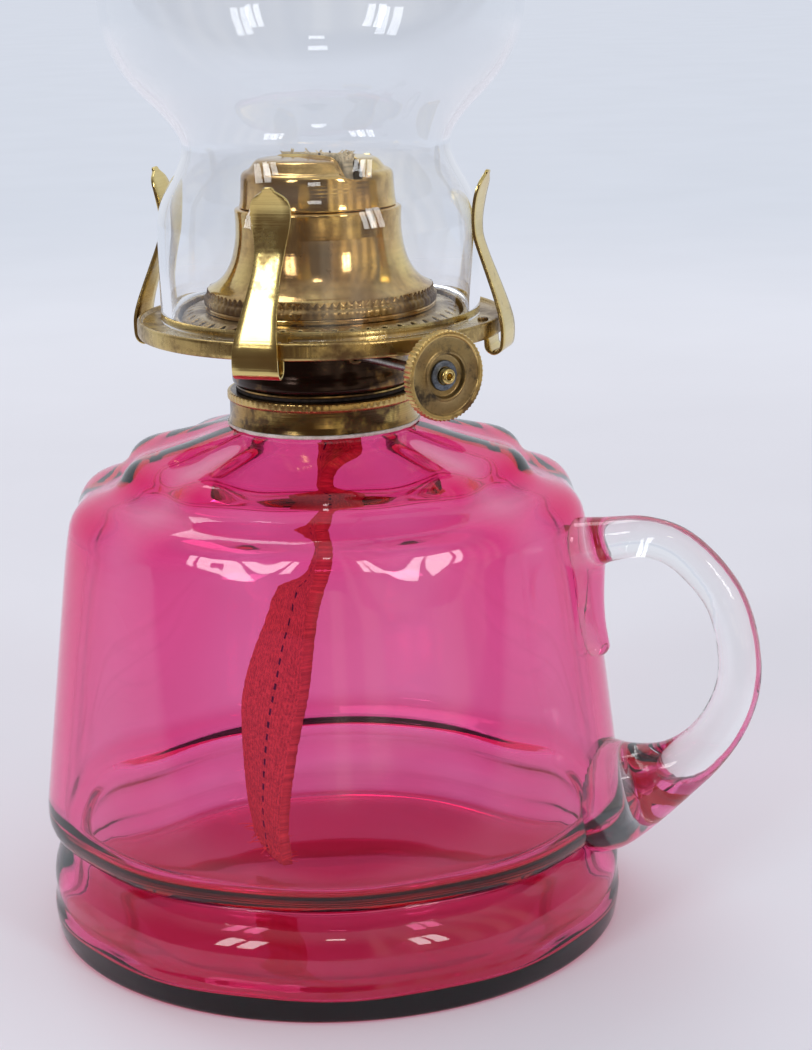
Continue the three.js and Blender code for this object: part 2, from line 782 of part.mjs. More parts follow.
function prong() {
  const stations = prongStations();
  const rings = stations.map(([radius, height, width], i) => {
    const before = stations[Math.max(i - 1, 0)];
    const after = stations[Math.min(i + 1, stations.length - 1)];
    const along = new THREE.Vector2(after[0] - before[0], after[1] - before[1]).normalize();
    const across = new THREE.Vector3(-along.y, 0, along.x).multiplyScalar(prongSheet / 2);
    const centre = new THREE.Vector3(radius, 0, height);
    return [[-1, -1], [1, -1], [1, 1], [-1, 1]].map(([side, face]) =>
      centre.clone().addScaledVector(across, face).setY((side * width) / 2),
    );
  });
  const hole = bar(rivetRadius + gap, galleryHeight - galleryRimDrop - prongBendDrop, galleryHeight)
    .translate([rivetCircle, 0, 0]);
  return geometryOf(solid(lofted(rings)).subtract(hole));
}

function prongRivet() {
  const headBottom = galleryHeight + seatGap;
  const tailTop = airFlangeTop - gap - prongSheet - seatGap;
  const outline = [
    at(0, tailTop - rivetHeadHeight),
    at(rivetHeadRadius, tailTop - rivetHeadHeight / 2),
    at(rivetHeadRadius, tailTop),
    at(rivetRadius, tailTop),
    at(rivetRadius, headBottom),
    at(rivetHeadRadius, headBottom),
    at(rivetHeadRadius, headBottom + rivetHeadHeight / 2),
    at(0, headBottom + rivetHeadHeight),
  ];
  return turned(outline, smallSegments).translate(rivetCircle, 0, 0);
}

// The bell's outer outline from its foot to its top, as radius and height.
function bellCurve() {
  const path = new THREE.Path();
  const foot = bellBottom + bellFlangeHeight + ringHeight;
  path.moveTo(bellFootRadius, foot);
  path.bezierCurveTo(
    (bellFootRadius * 2 + bellTopRadius) / 3, foot,
    bellTopRadius, (foot + bellTop) / 2,
    bellTopRadius, bellTop - bellSheet * 2,
  );
  path.lineTo(bellTopRadius - bellSheet, bellTop);
  return path.getPoints(bellSteps);
}

function bell() {
  const curve = bellCurve();
  const outline = [
    at(bellFlangeRadius, bellBottom),
    at(bellFlangeRadius, bellBottom + bellFlangeHeight),
    at(bellFootRadius, bellBottom + bellFlangeHeight),
    ...curve,
    at(bellTopRadius - bellSheet * 2, bellTop),
    ...curve.slice(0, -1).map((point) => at(point.x - bellSheet, point.y - bellSheet / 2)).reverse(),
    at(bellFootRadius - bellSheet, bellBottom),
  ];
  return turned(outline);
}

function bellRing() {
  const low = bellBottom + bellFlangeHeight + seatGap;
  const teeth = solid(toothed(bellFlangeRadius, ringToothDepth, ringToothCount, ringHeight - 2 * seatGap));
  const bore = bar(bellFootRadius + gap, -overrun, ringHeight + overrun, roundSegments);
  return geometryOf(teeth.subtract(bore).translate([0, 0, low]));
}

// The cap: a low dome with a slot for the flame.
function bellCap() {
  const radius = bellTopRadius - capInset;
  const domeHeight = capHeight - capWallHeight;
  const arc = (outer, height) =>
    Array.from({ length: capSteps + 1 }, (_, i) => {
      const angle = (Math.PI / 2) * (i / capSteps);
      const across = i === capSteps ? 0 : outer * Math.cos(angle);
      return at(across, capBottom + capWallHeight + height * Math.sin(angle));
    });
  const outside = [at(radius, capBottom), ...arc(radius, domeHeight)];
  const inside = [at(radius - bellSheet, capBottom), ...arc(radius - bellSheet, domeHeight - bellSheet)];
  const shell = solid(turned([...outside, ...inside.reverse()]));
  const slot = roundedPrism(slotLength, slotWidth, capBottom + capWallHeight, capTop + overrun);
  return geometryOf(shell.subtract(slot));
}

// A bar with a flat-sided oval section, along z between two heights.
function roundedPrism(length, width, low, high) {
  const half = length / 2 - width / 2;
  const shape = new THREE.Shape();
  shape.absarc(half, 0, width / 2, -Math.PI / 2, Math.PI / 2);
  shape.absarc(-half, 0, width / 2, Math.PI / 2, (Math.PI * 3) / 2);
  const geometry = new THREE.ExtrudeGeometry(shape, {
    depth: high - low, bevelEnabled: false, curveSegments: ovalSteps,
  });
  return solid(geometry).translate([0, 0, low]);
}

function wickTube() {
  const low = threadBottom - tubeTailDrop;
  const high = capTop - tubeTopDrop;
  const outer = roundedPrism(2 * tubeHalfWidth, 2 * tubeHalfThickness, low, high);
  const bore = roundedPrism(
    2 * (tubeHalfWidth - tubeSheet), 2 * (tubeHalfThickness - tubeSheet), low - overrun, high + overrun,
  );
  const slots = spurPlaces.map((place) =>
    block(
      [place - spurSlotWidth / 2, -tubeHalfThickness - overrun, spindleHeight - spurSlotHeight / 2],
      [place + spurSlotWidth / 2, 0, spindleHeight + spurSlotHeight / 2],
    ),
  );
  return geometryOf(outer.subtract(bore).subtract(Manifold.union(slots)));
}

function spurWheel() {
  const wheel = solid(toothed(spurRadius, spurToothDepth, spurToothCount, spurThickness));
  const bore = bar(spindleRadius + gap, -overrun, spurThickness + overrun);
  return geometryOf(wheel.subtract(bore));
}

// The sheet housing that carries the spindle against the wick tube.
function spindleHousing() {
  const front = -tubeHalfThickness - gap;
  const back = -spindleOffset - spurRadius - boxBack;
  const low = spindleHeight - boxHeight / 2;
  const high = spindleHeight + boxHeight / 2;
  const outside = block([-boxLength / 2, back, low], [boxLength / 2, front, high]);
  const inside = block(
    [-boxLength / 2 + boxSheet, back + boxSheet, low - overrun],
    [boxLength / 2 - boxSheet, front + overrun, high - boxSheet],
  );
  const hole = alongSpindle(bar(spindleRadius + gap, -boxLength, boxLength));
  return geometryOf(outside.subtract(inside).subtract(hole));
}

function spindleBush() {
  const start = Math.sqrt(cupWaistRadius ** 2 - spindleOffset ** 2) - bushLength / 2;
  return flatRing(spindleRadius + gap, bushRadius, start, start + bushLength, smallSegments);
}

// The knob, with its face at z = 0 and its back below.
function knob() {
  const bore = spindleRadius + gap;
  const rimInner = knobRadius - knobRimWidth;
  const outline = [
    at(bore, -knobWidth - knobHubLength),
    at(knobHubRadius, -knobWidth - knobHubLength),
    at(knobHubRadius, -knobRecessDrop - knobWebThickness),
    at(knobRecessRadius, -knobRecessDrop - knobWebThickness),
    at(knobRecessRadius + knobWebThickness, -knobFieldDrop - knobWebThickness),
    at(rimInner - knobWebThickness, -knobFieldDrop - knobWebThickness),
    at(rimInner, -knobWidth),
    at(knobRadius + overrun, -knobWidth),
    at(knobRadius + overrun, 0),
    at(rimInner, 0),
    at(rimInner - gap, -knobFieldDrop),
    at(knobRecessRadius, -knobFieldDrop),
    at(knobRecessRadius - gap, -knobRecessDrop),
    at(bore, -knobRecessDrop),
  ];
  const edge = solid(toothed(knobRadius, knobToothDepth, knobToothCount, knobWidth + knobHubLength));
  return geometryOf(solid(turned(outline)).intersect(edge.translate([0, 0, -knobWidth - knobHubLength])));
}

// The wick's stations from its top to its end: height, sideways shift and turn from the tube.
function wickStations() {
  const straightEnd = threadBottom - tubeTailDrop - tailStraight;
  const end = fontFloor + tailFloorGap;
  const spans = tailShares.map(([share, shift, turn]) => [
    THREE.MathUtils.lerp(straightEnd, end, share), shift * tailShift, turn * tailTurn,
  ]);
  return [[wickTop, 0, winderAzimuth], [straightEnd + tailStraight / 2, 0, winderAzimuth], ...spans];
}

function wick() {
  const edge = wickWidth / 2;
  const face = wickThickness / 2;
  const flat = edge - face;
  const section = [
    [-flat, -face], [flat, -face], [edge, -face / 2], [edge, face / 2],
    [flat, face], [-flat, face], [-edge, face / 2], [-edge, -face / 2],
  ];
  const rings = wickStations().map(([height, shift, turn]) => {
    const out = new THREE.Vector3(Math.sin(degrees(turn)), -Math.cos(degrees(turn)), 0);
    const side = new THREE.Vector3(out.y, -out.x, 0);
    return section.map(([along, across]) =>
      new THREE.Vector3(-shift, 0, height).addScaledVector(out, along).addScaledVector(side, across),
    );
  });
  return lofted(rings);
}

// The chimney's outer outline from its base to its rim.
function chimneyCurve() {
  const base = galleryHeight + seatGap;
  const up = (height) => base + height;
  const narrow = chimneyRadius - chimneyWaistInset;
  const riseBelow = (chimneyWaist - chimneyShoulder) / 2;
  const riseAbove = bulbMiddle - chimneyWaist;
  const path = new THREE.Path();
  path.moveTo(chimneyRadius, base);
  path.lineTo(chimneyRadius, up(chimneyShoulder));
  path.bezierCurveTo(
    chimneyRadius, up(chimneyShoulder + riseBelow),
    narrow, up(chimneyWaist - riseBelow),
    narrow, up(chimneyWaist),
  );
  path.bezierCurveTo(
    narrow, up(chimneyWaist + riseAbove / 3),
    bulbRadius, up(bulbMiddle - riseAbove / 2),
    bulbRadius, up(bulbMiddle),
  );
  path.bezierCurveTo(
    bulbRadius, up((bulbMiddle * 2 + chimneyNeck) / 3),
    chimneyTopRadius + chimneyWall, up((bulbMiddle + chimneyNeck) / 2),
    chimneyTopRadius + chimneyWall / 2, up(chimneyNeck),
  );
  path.lineTo(chimneyTopRadius, up(chimneyHeight));
  return path.getPoints(chimneySteps);
}

function chimney() {
  const outer = chimneyCurve();
  const base = outer[0].y;
  const inner = outer.map((point) => {
    const share = smooth(point.y, base, base + chimneyShoulder);
    return at(point.x - THREE.MathUtils.lerp(chimneyBaseWall, chimneyWall, share), point.y);
  });
  return turned([...outer, ...inner.reverse()], chimneySegments);
}

// Pieces on the spindle, which lies along the +X of the winder's own group.
function winder() {
  const shaft = (name, geometry, material, place) => {
    const mesh = piece(name, geometry, material);
    mesh.rotation.y = Math.PI / 2;
    mesh.position.x = place;
    return mesh;
  };
  const group = new THREE.Group();
  group.position.set(0, -spindleOffset, spindleHeight);
  const spindleStart = -boxLength / 2 - spindleTail;
  const spindleEnd = knobFace - knobRecessDrop - seatGap;
  const onRecess = knobFace - knobRecessDrop + seatGap;
  const stem = flatRing(stemEndBore, stemEndRadius, 0, stemEndLength, smallSegments);
  const boss = flatRing(stemEndRadius + gap, knobWasherRadius, 0, knobWasherThickness, roundSegments);
  group.add(
    shaft("winder_spindle", geometryOf(bar(spindleRadius, spindleStart, spindleEnd)), steel(), 0),
    shaft("winder_knob", knob(), brass(), knobFace),
    shaft("knob_washer", boss, darkMetal(), onRecess),
    shaft("stem_end", stem, brass(), onRecess),
    shaft("spindle_bush", spindleBush(), wornBrass(), 0),
    ...spurPlaces.map((place, i) =>
      shaft("spur_wheel_" + (i + 1), spurWheel(), steel(), place - spurThickness / 2),
    ),
  );
  return group;
}

const lamp = new THREE.Group();
lamp.add(
  piece("oil_font", oilFont(), cranberryGlass()),
  facing(handleAzimuth, piece("handle", handle(), clearGlass())),
  piece("plaster_ring", plasterRing(), plaster()),
  piece("collar", collar(), wornBrass()),
  piece(
    "seat_washer",
    flatRing(threadRadius + gap, cupRadius - washerInset, washerBottom, washerTop),
    felt(),
  ),
  piece("thread_shell", threadShell(), wornBrass()),
  facing(
    winderAzimuth,
    piece("burner_cup", burnerCup(), wornBrass()),
    piece("wick_tube", wickTube(), wornBrass()),
    piece("spindle_housing", spindleHousing(), wornBrass()),
    piece("deflector_cap", bellCap(), roseBrass()),
    winder(),
  ),
  piece("gallery", gallery(), brass()),
  piece("air_plate", airPlate(), wornBrass()),
  ...prongAzimuths.map((azimuth, i) =>
    facing(
      azimuth,
      piece("prong_" + (i + 1), prong(), brass()),
      piece("prong_rivet_" + (i + 1), prongRivet(), wornBrass()),
    ),
  ),
  piece("deflector_bell", bell(), roseBrass()),
  piece("deflector_ring", bellRing(), wornBrass()),
  piece("wick", wick(), cotton()),
  piece("chimney", chimney(), clearGlass()),
);

export default lamp;
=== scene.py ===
"""The looks of a finger lamp: a pink glass oil font with its handle, a brass flat-wick burner and a clear chimney.

Sizes are written in millimetres and turned into metres when a piece is kept. +Z is up. Azimuth 0 faces -Y and grows
towards +X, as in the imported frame.
"""

import logging
import math
import random
from collections.abc import Sequence
from dataclasses import dataclass, field
from enum import Enum

import bmesh
import bpy
from bmesh.types import BMEdge, BMesh, BMVert
from mathutils import Matrix, Vector, noise


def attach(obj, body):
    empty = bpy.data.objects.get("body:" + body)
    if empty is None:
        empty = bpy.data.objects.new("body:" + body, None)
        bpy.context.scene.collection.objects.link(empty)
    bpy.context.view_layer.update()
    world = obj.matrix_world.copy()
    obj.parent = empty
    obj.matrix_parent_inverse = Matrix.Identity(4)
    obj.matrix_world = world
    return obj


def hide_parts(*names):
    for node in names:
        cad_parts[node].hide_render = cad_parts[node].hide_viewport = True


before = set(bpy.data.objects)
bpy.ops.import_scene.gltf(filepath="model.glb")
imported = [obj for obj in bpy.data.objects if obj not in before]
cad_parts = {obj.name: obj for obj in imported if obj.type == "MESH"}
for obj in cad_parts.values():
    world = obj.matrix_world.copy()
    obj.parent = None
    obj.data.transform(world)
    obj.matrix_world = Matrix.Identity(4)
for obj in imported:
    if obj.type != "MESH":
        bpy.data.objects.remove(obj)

Colour = tuple[float, float, float]
Span = tuple[float, float]
Corner = tuple[float, ...]
Profile = tuple[Corner, ...]

MM = 0.001
MERGE = 0.001
SHARP = math.radians(38)
SHARP_GLASS = math.radians(70)
SHARP_MELTED = math.radians(80)
IMAGE_HEIGHT = 1050

log = logging.getLogger("lamp")
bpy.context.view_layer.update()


# Shader maths


class Wire:
    """A node's output that adds Math nodes when it is used in an expression."""

    def __init__(self, recipe: "Recipe", socket: bpy.types.NodeSocket) -> None:
        """Keeps the socket and the recipe that new nodes go into."""
        self.recipe = recipe
        self.socket = socket

    def apply(self, operation: str, *values: "Wire | float") -> "Wire":
        """Adds one Math node, which takes the values in order."""
        return self.recipe.add("ShaderNodeMath", {"operation": operation}, dict(enumerate(values)))

    def __add__(self, other: "Wire | float") -> "Wire":
        """Adds."""
        return self.apply("ADD", self, other)

    __radd__ = __add__

    def __sub__(self, other: "Wire | float") -> "Wire":
        """Takes away."""
        return self.apply("SUBTRACT", self, other)

    def __rsub__(self, other: float) -> "Wire":
        """Takes away from a number."""
        return self.apply("SUBTRACT", other, self)

    def __mul__(self, other: "Wire | float") -> "Wire":
        """Multiplies."""
        return self.apply("MULTIPLY", self, other)

    __rmul__ = __mul__

    def __abs__(self) -> "Wire":
        """Drops the sign."""
        return self.apply("ABSOLUTE", self)

    def sine(self) -> "Wire":
        """Gives the sine."""
        return self.apply("SINE", self)

    def most(self, other: "Wire | float") -> "Wire":
        """Gives the larger of two."""
        return self.apply("MAXIMUM", self, other)

    def step(self, low: float, high: float) -> "Wire":
        """Rises smoothly from 0 to 1 between two values."""
        values = {"Value": self, "From Min": low, "From Max": high}
        return self.recipe.add("ShaderNodeMapRange", {"interpolation_type": "SMOOTHSTEP"}, values)

    def beside(self, out: str) -> "Wire":
        """Gives another output of the same node."""
        return Wire(self.recipe, self.socket.node.outputs[out])

    def reflected(self) -> "Wire":
        """Gives, beside a light path's output, whether the ray was reflected and passed through nothing."""
        return self.beside("Is Glossy Ray") * (1 - self.beside("Is Transmission Ray"))


class Recipe:
    """The nodes of one material or of the world."""

    def __init__(self, tree: bpy.types.NodeTree) -> None:
        """Empties the tree."""
        self.tree = tree
        self.tree.nodes.clear()

    def add(
        self,
        kind: str,
        settings: dict | None = None,
        values: dict | None = None,
        out: str | int = 0,
    ) -> Wire:
        """Adds any node.

        Args:
            kind: The node's type.
            settings: Its properties, which are set first.
            values: What its sockets take, by name or number: a link or a plain value.
            out: The output that is wanted.

        Returns:
            That output.
        """
        node = self.tree.nodes.new(kind)
        for name, setting in (settings or {}).items():
            setattr(node, name, setting)
        for key, value in (values or {}).items():
            socket = node.inputs[key]
            if isinstance(value, Wire):
                self.tree.links.new(value.socket, socket)
            elif socket.type == "RGBA":
                socket.default_value = (*value, 1)
            else:
                socket.default_value = value
        return Wire(self, node.outputs[out] if node.outputs else None)

    def place(self) -> Wire:
        """Gives the object's own coordinates, in metres."""
        return self.add("ShaderNodeTexCoord", out="Object")

    def stretched(self, vector: Wire, scale: Colour) -> Wire:
        """Scales a vector along each axis."""
        return self.add("ShaderNodeVectorMath", {"operation": "MULTIPLY"}, {0: vector, 1: scale})

    def from_axis(self, place: Wire) -> Wire:
        """Gives a place's distance from the upright axis."""
        flat = self.stretched(place, (1, 1, 0))
        return self.add("ShaderNodeVectorMath", {"operation": "LENGTH"}, {0: flat}, "Value")

    def cloud(self, vector: Wire, scale: float, detail: float = 3, rough: float = 0.55) -> Wire:
        """Adds a noise pattern about one half, with a scale in clouds a unit, and finer layers and their strength."""
        values = {"Vector": vector, "Scale": scale, "Detail": detail, "Roughness": rough}
        return self.add("ShaderNodeTexNoise", None, values)

    def blend(self, share: Wire | float, first: Wire | Colour, second: Wire | Colour) -> Wire:
        """Mixes two colours, by the share of the second."""
        return self.add("ShaderNodeMix", {"data_type": "RGBA"}, {0: share, 6: first, 7: second}, 2)

    def shaded(self, colour: Wire, level: Wire) -> Wire:
        """Makes a colour darker or lighter by a level."""
        return self.add("ShaderNodeVectorMath", {"operation": "SCALE"}, {0: colour, "Scale": level})

    def bump(self, height: Wire, distance: float, strength: float, under: Wire | None = None) -> Wire:
        """Turns a height pattern into a normal.

        Args:
            height: The pattern.
            distance: The height of 1, in metres.
            strength: How much of it shows.
            under: A normal that it goes on top of.

        Returns:
            The normal.
        """
        values: dict = {"Height": height, "Distance": distance, "Strength": strength}
        if under is not None:
            values["Normal"] = under
        return self.add("ShaderNodeBump", None, values)

    def principled(self, **sockets: "Wire | float | Colour") -> Wire:
        """Adds the surface shader, with socket names written with underscores."""
        named = {name.replace("_", " "): value for name, value in sockets.items()}
        return self.add("ShaderNodeBsdfPrincipled", None, named)


class Grain(Enum):
    """Which way the fine lines of a metal run."""

    AROUND = (26.0, 26.0, 2600.0)
    UPRIGHT = (1500.0, 1500.0, 40.0)
    SHORT = (500.0, 500.0, 1800.0)
    RINGS = (0.0, 0.0, 0.0)


class Finish:
    """A finish, whose material is made once."""

    name: str
    made: dict[str, bpy.types.Material] = {}

    def surface(self, recipe: Recipe) -> Wire:
        """Gives the material's shader."""
        raise NotImplementedError

    def inside(self, recipe: Recipe) -> Wire | None:
        """Gives the shader of what is under the surface, or None for nothing."""
        return None

    def material(self) -> bpy.types.Material:
        """Gives the material, made on first use."""
        if self.name not in Finish.made:
            material = bpy.data.materials.new(self.name)
            material.use_nodes = True
            recipe = Recipe(material.node_tree)
            shaders = {"Surface": self.surface(recipe), "Volume": self.inside(recipe)}
            joined = {socket: shader for socket, shader in shaders.items() if shader is not None}
            recipe.add("ShaderNodeOutputMaterial", None, joined)
            Finish.made[self.name] = material
        return Finish.made[self.name]


@dataclass(frozen=True)
class BrassFinish(Finish):
    """Sheet brass with fine lines, soft dents and a patchy brown film."""

    name: str
    bright: Colour = (0.87, 0.66, 0.31)
    warm: Colour = (0.80, 0.52, 0.22)
    film: Colour = (0.13, 0.07, 0.025)
    film_from: float = 0.60
    film_soft: float = 0.10
    patch: float = 75.0
    roughness: float = 0.16
    film_roughness: float = 0.22
    grain: Grain = Grain.AROUND
    grain_depth: float = 0.5
    dents: float = 0.00012
    dent_scale: float = 110.0
    line_height: float = 0.00006
    ring_scale: float = 2200.0

    def lines(self, recipe: Recipe, place: Wire) -> Wire:
        """Gives the fine lines of the metal.

        Args:
            recipe: The material's nodes.
            place: The object's coordinates.

        Returns:
            A value about one half.
        """
        if self.grain is not Grain.RINGS:
            return recipe.cloud(recipe.stretched(place, self.grain.value), 1.0, 2, 0.5)
        radius = recipe.from_axis(place) * self.ring_scale
        around = recipe.add("ShaderNodeCombineXYZ", None, {"X": radius, "Y": 0.5, "Z": 0.5})
        return recipe.cloud(around, 1.0, 2, 0.5)

    def surface(self, recipe: Recipe) -> Wire:
        """Gives the metal's shader.

        Args:
            recipe: The material's nodes.

        Returns:
            The shader.
        """
        place = recipe.place()
        lines = self.lines(recipe, place)
        patch = recipe.cloud(place, self.patch, 5, 0.62)
        fleck = recipe.cloud(place, self.patch * 9, 3, 0.6)
        tint = recipe.cloud(place, self.patch * 0.7 + 11, 2, 0.5)
        film = patch * 0.8 + fleck * 0.2
        film = film.step(self.film_from - self.film_soft, self.film_from + self.film_soft)
        metal = recipe.blend(tint.step(0.35, 0.68), self.bright, self.warm)
        colour = recipe.shaded(recipe.blend(film, metal, self.film), lines * 0.24 + 0.88)
        dents = recipe.bump(recipe.cloud(place, self.dent_scale, 2, 0.5), self.dents, 0.8)
        normal = recipe.bump(lines * 0.7 + fleck * 0.3, self.line_height, self.grain_depth, dents)
        return recipe.principled(
            Base_Color=colour,
            Metallic=1 - film * 0.3,
            Roughness=film * self.film_roughness + lines * 0.08 + self.roughness,
            Normal=normal,
        )


@dataclass(frozen=True)
class GlassFinish(Finish):
    """Glass that lets light straight through to what it shades, with a slight wave from blowing."""

    name: str
    colour: Colour = (1.0, 1.0, 1.0)
    passed: Colour = (0.96, 0.965, 0.97)
    wave: float = 0.00005
    wave_size: float = 60.0
    roughness: float = 0.0
    stain: Colour = (1.0, 1.0, 1.0)
    depth: float = 0.0
    index: float = 1.5
    gloss_passes: bool = False

    def surface(self, recipe: Recipe) -> Wire:
        """Gives the glass's shader.

        Args:
            recipe: The material's nodes.

        Returns:
            The shader.
        """
        place = recipe.place()
        wave = recipe.bump(recipe.cloud(place, self.wave_size, 1, 0.4), self.wave, 0.7)
        glass = recipe.principled(
            Base_Color=self.colour,
            Roughness=self.roughness,
            IOR=self.index,
            Transmission_Weight=1.0,
            Normal=wave,
        )
        clear = recipe.add("ShaderNodeBsdfTransparent", None, {"Color": self.passed})
        shadow = recipe.add("ShaderNodeLightPath", out="Is Shadow Ray")
        soft = shadow.most(shadow.beside("Is Diffuse Ray"))
        if self.gloss_passes:
            soft = soft.most(shadow.reflected())
        return recipe.add("ShaderNodeMixShader", None, {0: soft, 1: glass, 2: clear})

    def inside(self, recipe: Recipe) -> Wire | None:
        """Gives the stain, which deepens with the thickness of the glass."""
        if not self.depth:
            return None
        return recipe.add("ShaderNodeVolumeAbsorption", None, {"Color": self.stain, "Density": self.depth})


@dataclass(frozen=True)
class PlainFinish(Finish):
    """A mottled finish for plaster, washers and steel."""

    name: str
    light: Colour
    dark: Colour
    metallic: float = 0.0
    roughness: float = 0.6
    size: float = 300.0
    relief: float = 0.0001

    def surface(self, recipe: Recipe) -> Wire:
        """Gives the mottled shader.

        Args:
            recipe: The material's nodes.

        Returns:
            The shader.
        """
        place = recipe.place()
        mottle = recipe.cloud(place, self.size, 5, 0.62)
        fine = recipe.cloud(place, self.size * 6, 3, 0.6)
        colour = recipe.blend((mottle * 0.7 + fine * 0.3).step(0.36, 0.64), self.dark, self.light)
        normal = recipe.bump(mottle * 0.5 + fine * 0.5, self.relief, 0.6)
        return recipe.principled(
            Base_Color=colour,
            Metallic=self.metallic,
            Roughness=mottle * 0.2 + self.roughness - 0.1,
            Normal=normal,
        )


@dataclass(frozen=True)
class WickFinish(Finish):
    """Woven cotton that follows the piece's own map, oil-wet and painted with pink glass light in its lower part and
    burnt at its top.
    """

    name: str = "woven_cotton"
    map_name: str = "weave"
    cotton: Colour = (0.82, 0.68, 0.46)
    # Lower colour: oil-darkened cotton with painted pink light, its red standing in for the light that reaches the wick
    # through the pink glass.
    soaked_and_painted_pink: Colour = (0.98, 0.42, 0.22)
    burnt: Colour = (0.035, 0.02, 0.016)
    tracer: Colour = (0.03, 0.035, 0.09)
    rib: float = 1.5
    oil_and_painted_pink_line: Span = (18, 40)
    tracer_at: float = 15.5
    tracer_edge: Span = (0.25, 0.75)
    burnt_length: float = 1.5
    relief: float = 0.0004

    def surface(self, recipe: Recipe) -> Wire:
        """Gives the cloth's shader; the map's u is across and its v along, both in millimetres.

        Args:
            recipe: The material's nodes.

        Returns:
            The shader.
        """
        where = recipe.add("ShaderNodeUVMap", {"uv_map": self.map_name})
        across = recipe.add("ShaderNodeSeparateXYZ", None, {0: where}, "X")
        along = across.beside("Y")
        turn = 2 * math.pi / self.rib
        fray = recipe.cloud(where, 1.6, 4, 0.7)
        drift = recipe.cloud(where, 0.35, 3, 0.6)
        slant = ((across * 0.8).sine() * 0.9 + along + fray * 3.2 + drift * 5) * turn
        rib = slant.sine() * 0.5 + 0.5
        strand = (across * (turn * 1.25) + fray * 4 + drift * 6).sine() * 0.5 + 0.5
        height = rib * 0.26 + strand * 0.22 + recipe.cloud(where, 1.0, 5, 0.7) * 2.0 - 0.74
        # Below this line the cloth takes the lower colour, partly real oil darkening and partly painted pink light.
        cloth = recipe.blend(along.step(*self.oil_and_painted_pink_line), self.cotton, self.soaked_and_painted_pink)
        # Partly painted shade: the cloth is darker where the weave is low, as in its hollows, and it also varies at
        # random with the drift.
        shaded = recipe.shaded(cloth, height * 0.75 + drift * 0.7 + 0.22)
        dash = (along * (turn * 0.5)).sine().step(-0.2, 0.2)
        tracer = dash * (1 - abs(across - self.tracer_at).step(*self.tracer_edge))
        lined = recipe.blend(tracer, shaded, self.tracer)
        scorch = (fray * 9 + (self.burnt_length - along) * 0.8).step(6.1, 6.9)
        colour = recipe.blend(scorch, lined, self.burnt)
        return recipe.principled(
            Base_Color=colour,
            Roughness=0.9,
            Normal=recipe.bump(height * 0.7 + fray * 1.2, self.relief, 0.8),
        )


@dataclass(frozen=True)
class FloorFinish(Finish):
    """A pale seamless floor, white round the lamp and cooler far from it.

    In reflections, the floor in front of the lamp is a dim room with warm light in streaks on its right.
    """

    name: str = "pale_floor"
    near: Colour = (0.86, 0.86, 0.94)
    far: Colour = (0.67, 0.71, 0.80)
    dim: Colour = (0.10, 0.07, 0.06)
    lit: Colour = (0.96, 0.86, 0.68)
    fade: Span = (0.15, 1.5)
    glow_from: Span = (0.3, 0.9)
    room_from: Span = (0.12, 0.28)
    lit_from: Span = (0.40, 0.52)
    lit_left: Span = (-0.24, -0.04)
    lit_right: Span = (0.95, 1.1)
    streak_count: float = 19

    def surface(self, recipe: Recipe) -> Wire:
        """Gives the floor's shader.

        Args:
            recipe: The material's nodes.

        Returns:
            The shader.
        """
        place = recipe.place()
        away = recipe.from_axis(place)
        colour = recipe.blend(away.step(*self.fade), self.near, self.far)
        crease = recipe.cloud(place, 9, 3, 0.5)
        shaded = recipe.shaded(colour, crease * 0.06 + 0.97)
        cloth = recipe.principled(Base_Color=shaded, Roughness=0.75, Specular_IOR_Level=0.2)
        path = recipe.add("ShaderNodeLightPath", out="Is Camera Ray")
        side = recipe.add("ShaderNodeSeparateXYZ", None, {0: place}, "X")
        nearer = side.beside("Y") * -1
        front = path.reflected() * nearer.step(*self.room_from)
        azimuth = side.apply("ARCTAN2", side, nearer)
        lit = azimuth.step(*self.lit_left) * (1 - azimuth.step(*self.lit_right)) * nearer.step(*self.lit_from)
        streaks = (azimuth * self.streak_count).sine().step(-0.5, 0.8) * 0.55 + 0.45
        room = recipe.blend(lit * streaks, self.dim, self.lit)
        shown = recipe.blend(front, shaded, room)
        glow = recipe.add("ShaderNodeEmission", None, {"Color": shown, "Strength": 1.0})
        seen = path.most(path.beside("Is Glossy Ray")).most(path.beside("Is Transmission Ray"))
        share = (seen * away.step(*self.glow_from)).most(front)
        return recipe.add("ShaderNodeMixShader", None, {0: share, 1: cloth, 2: glow})


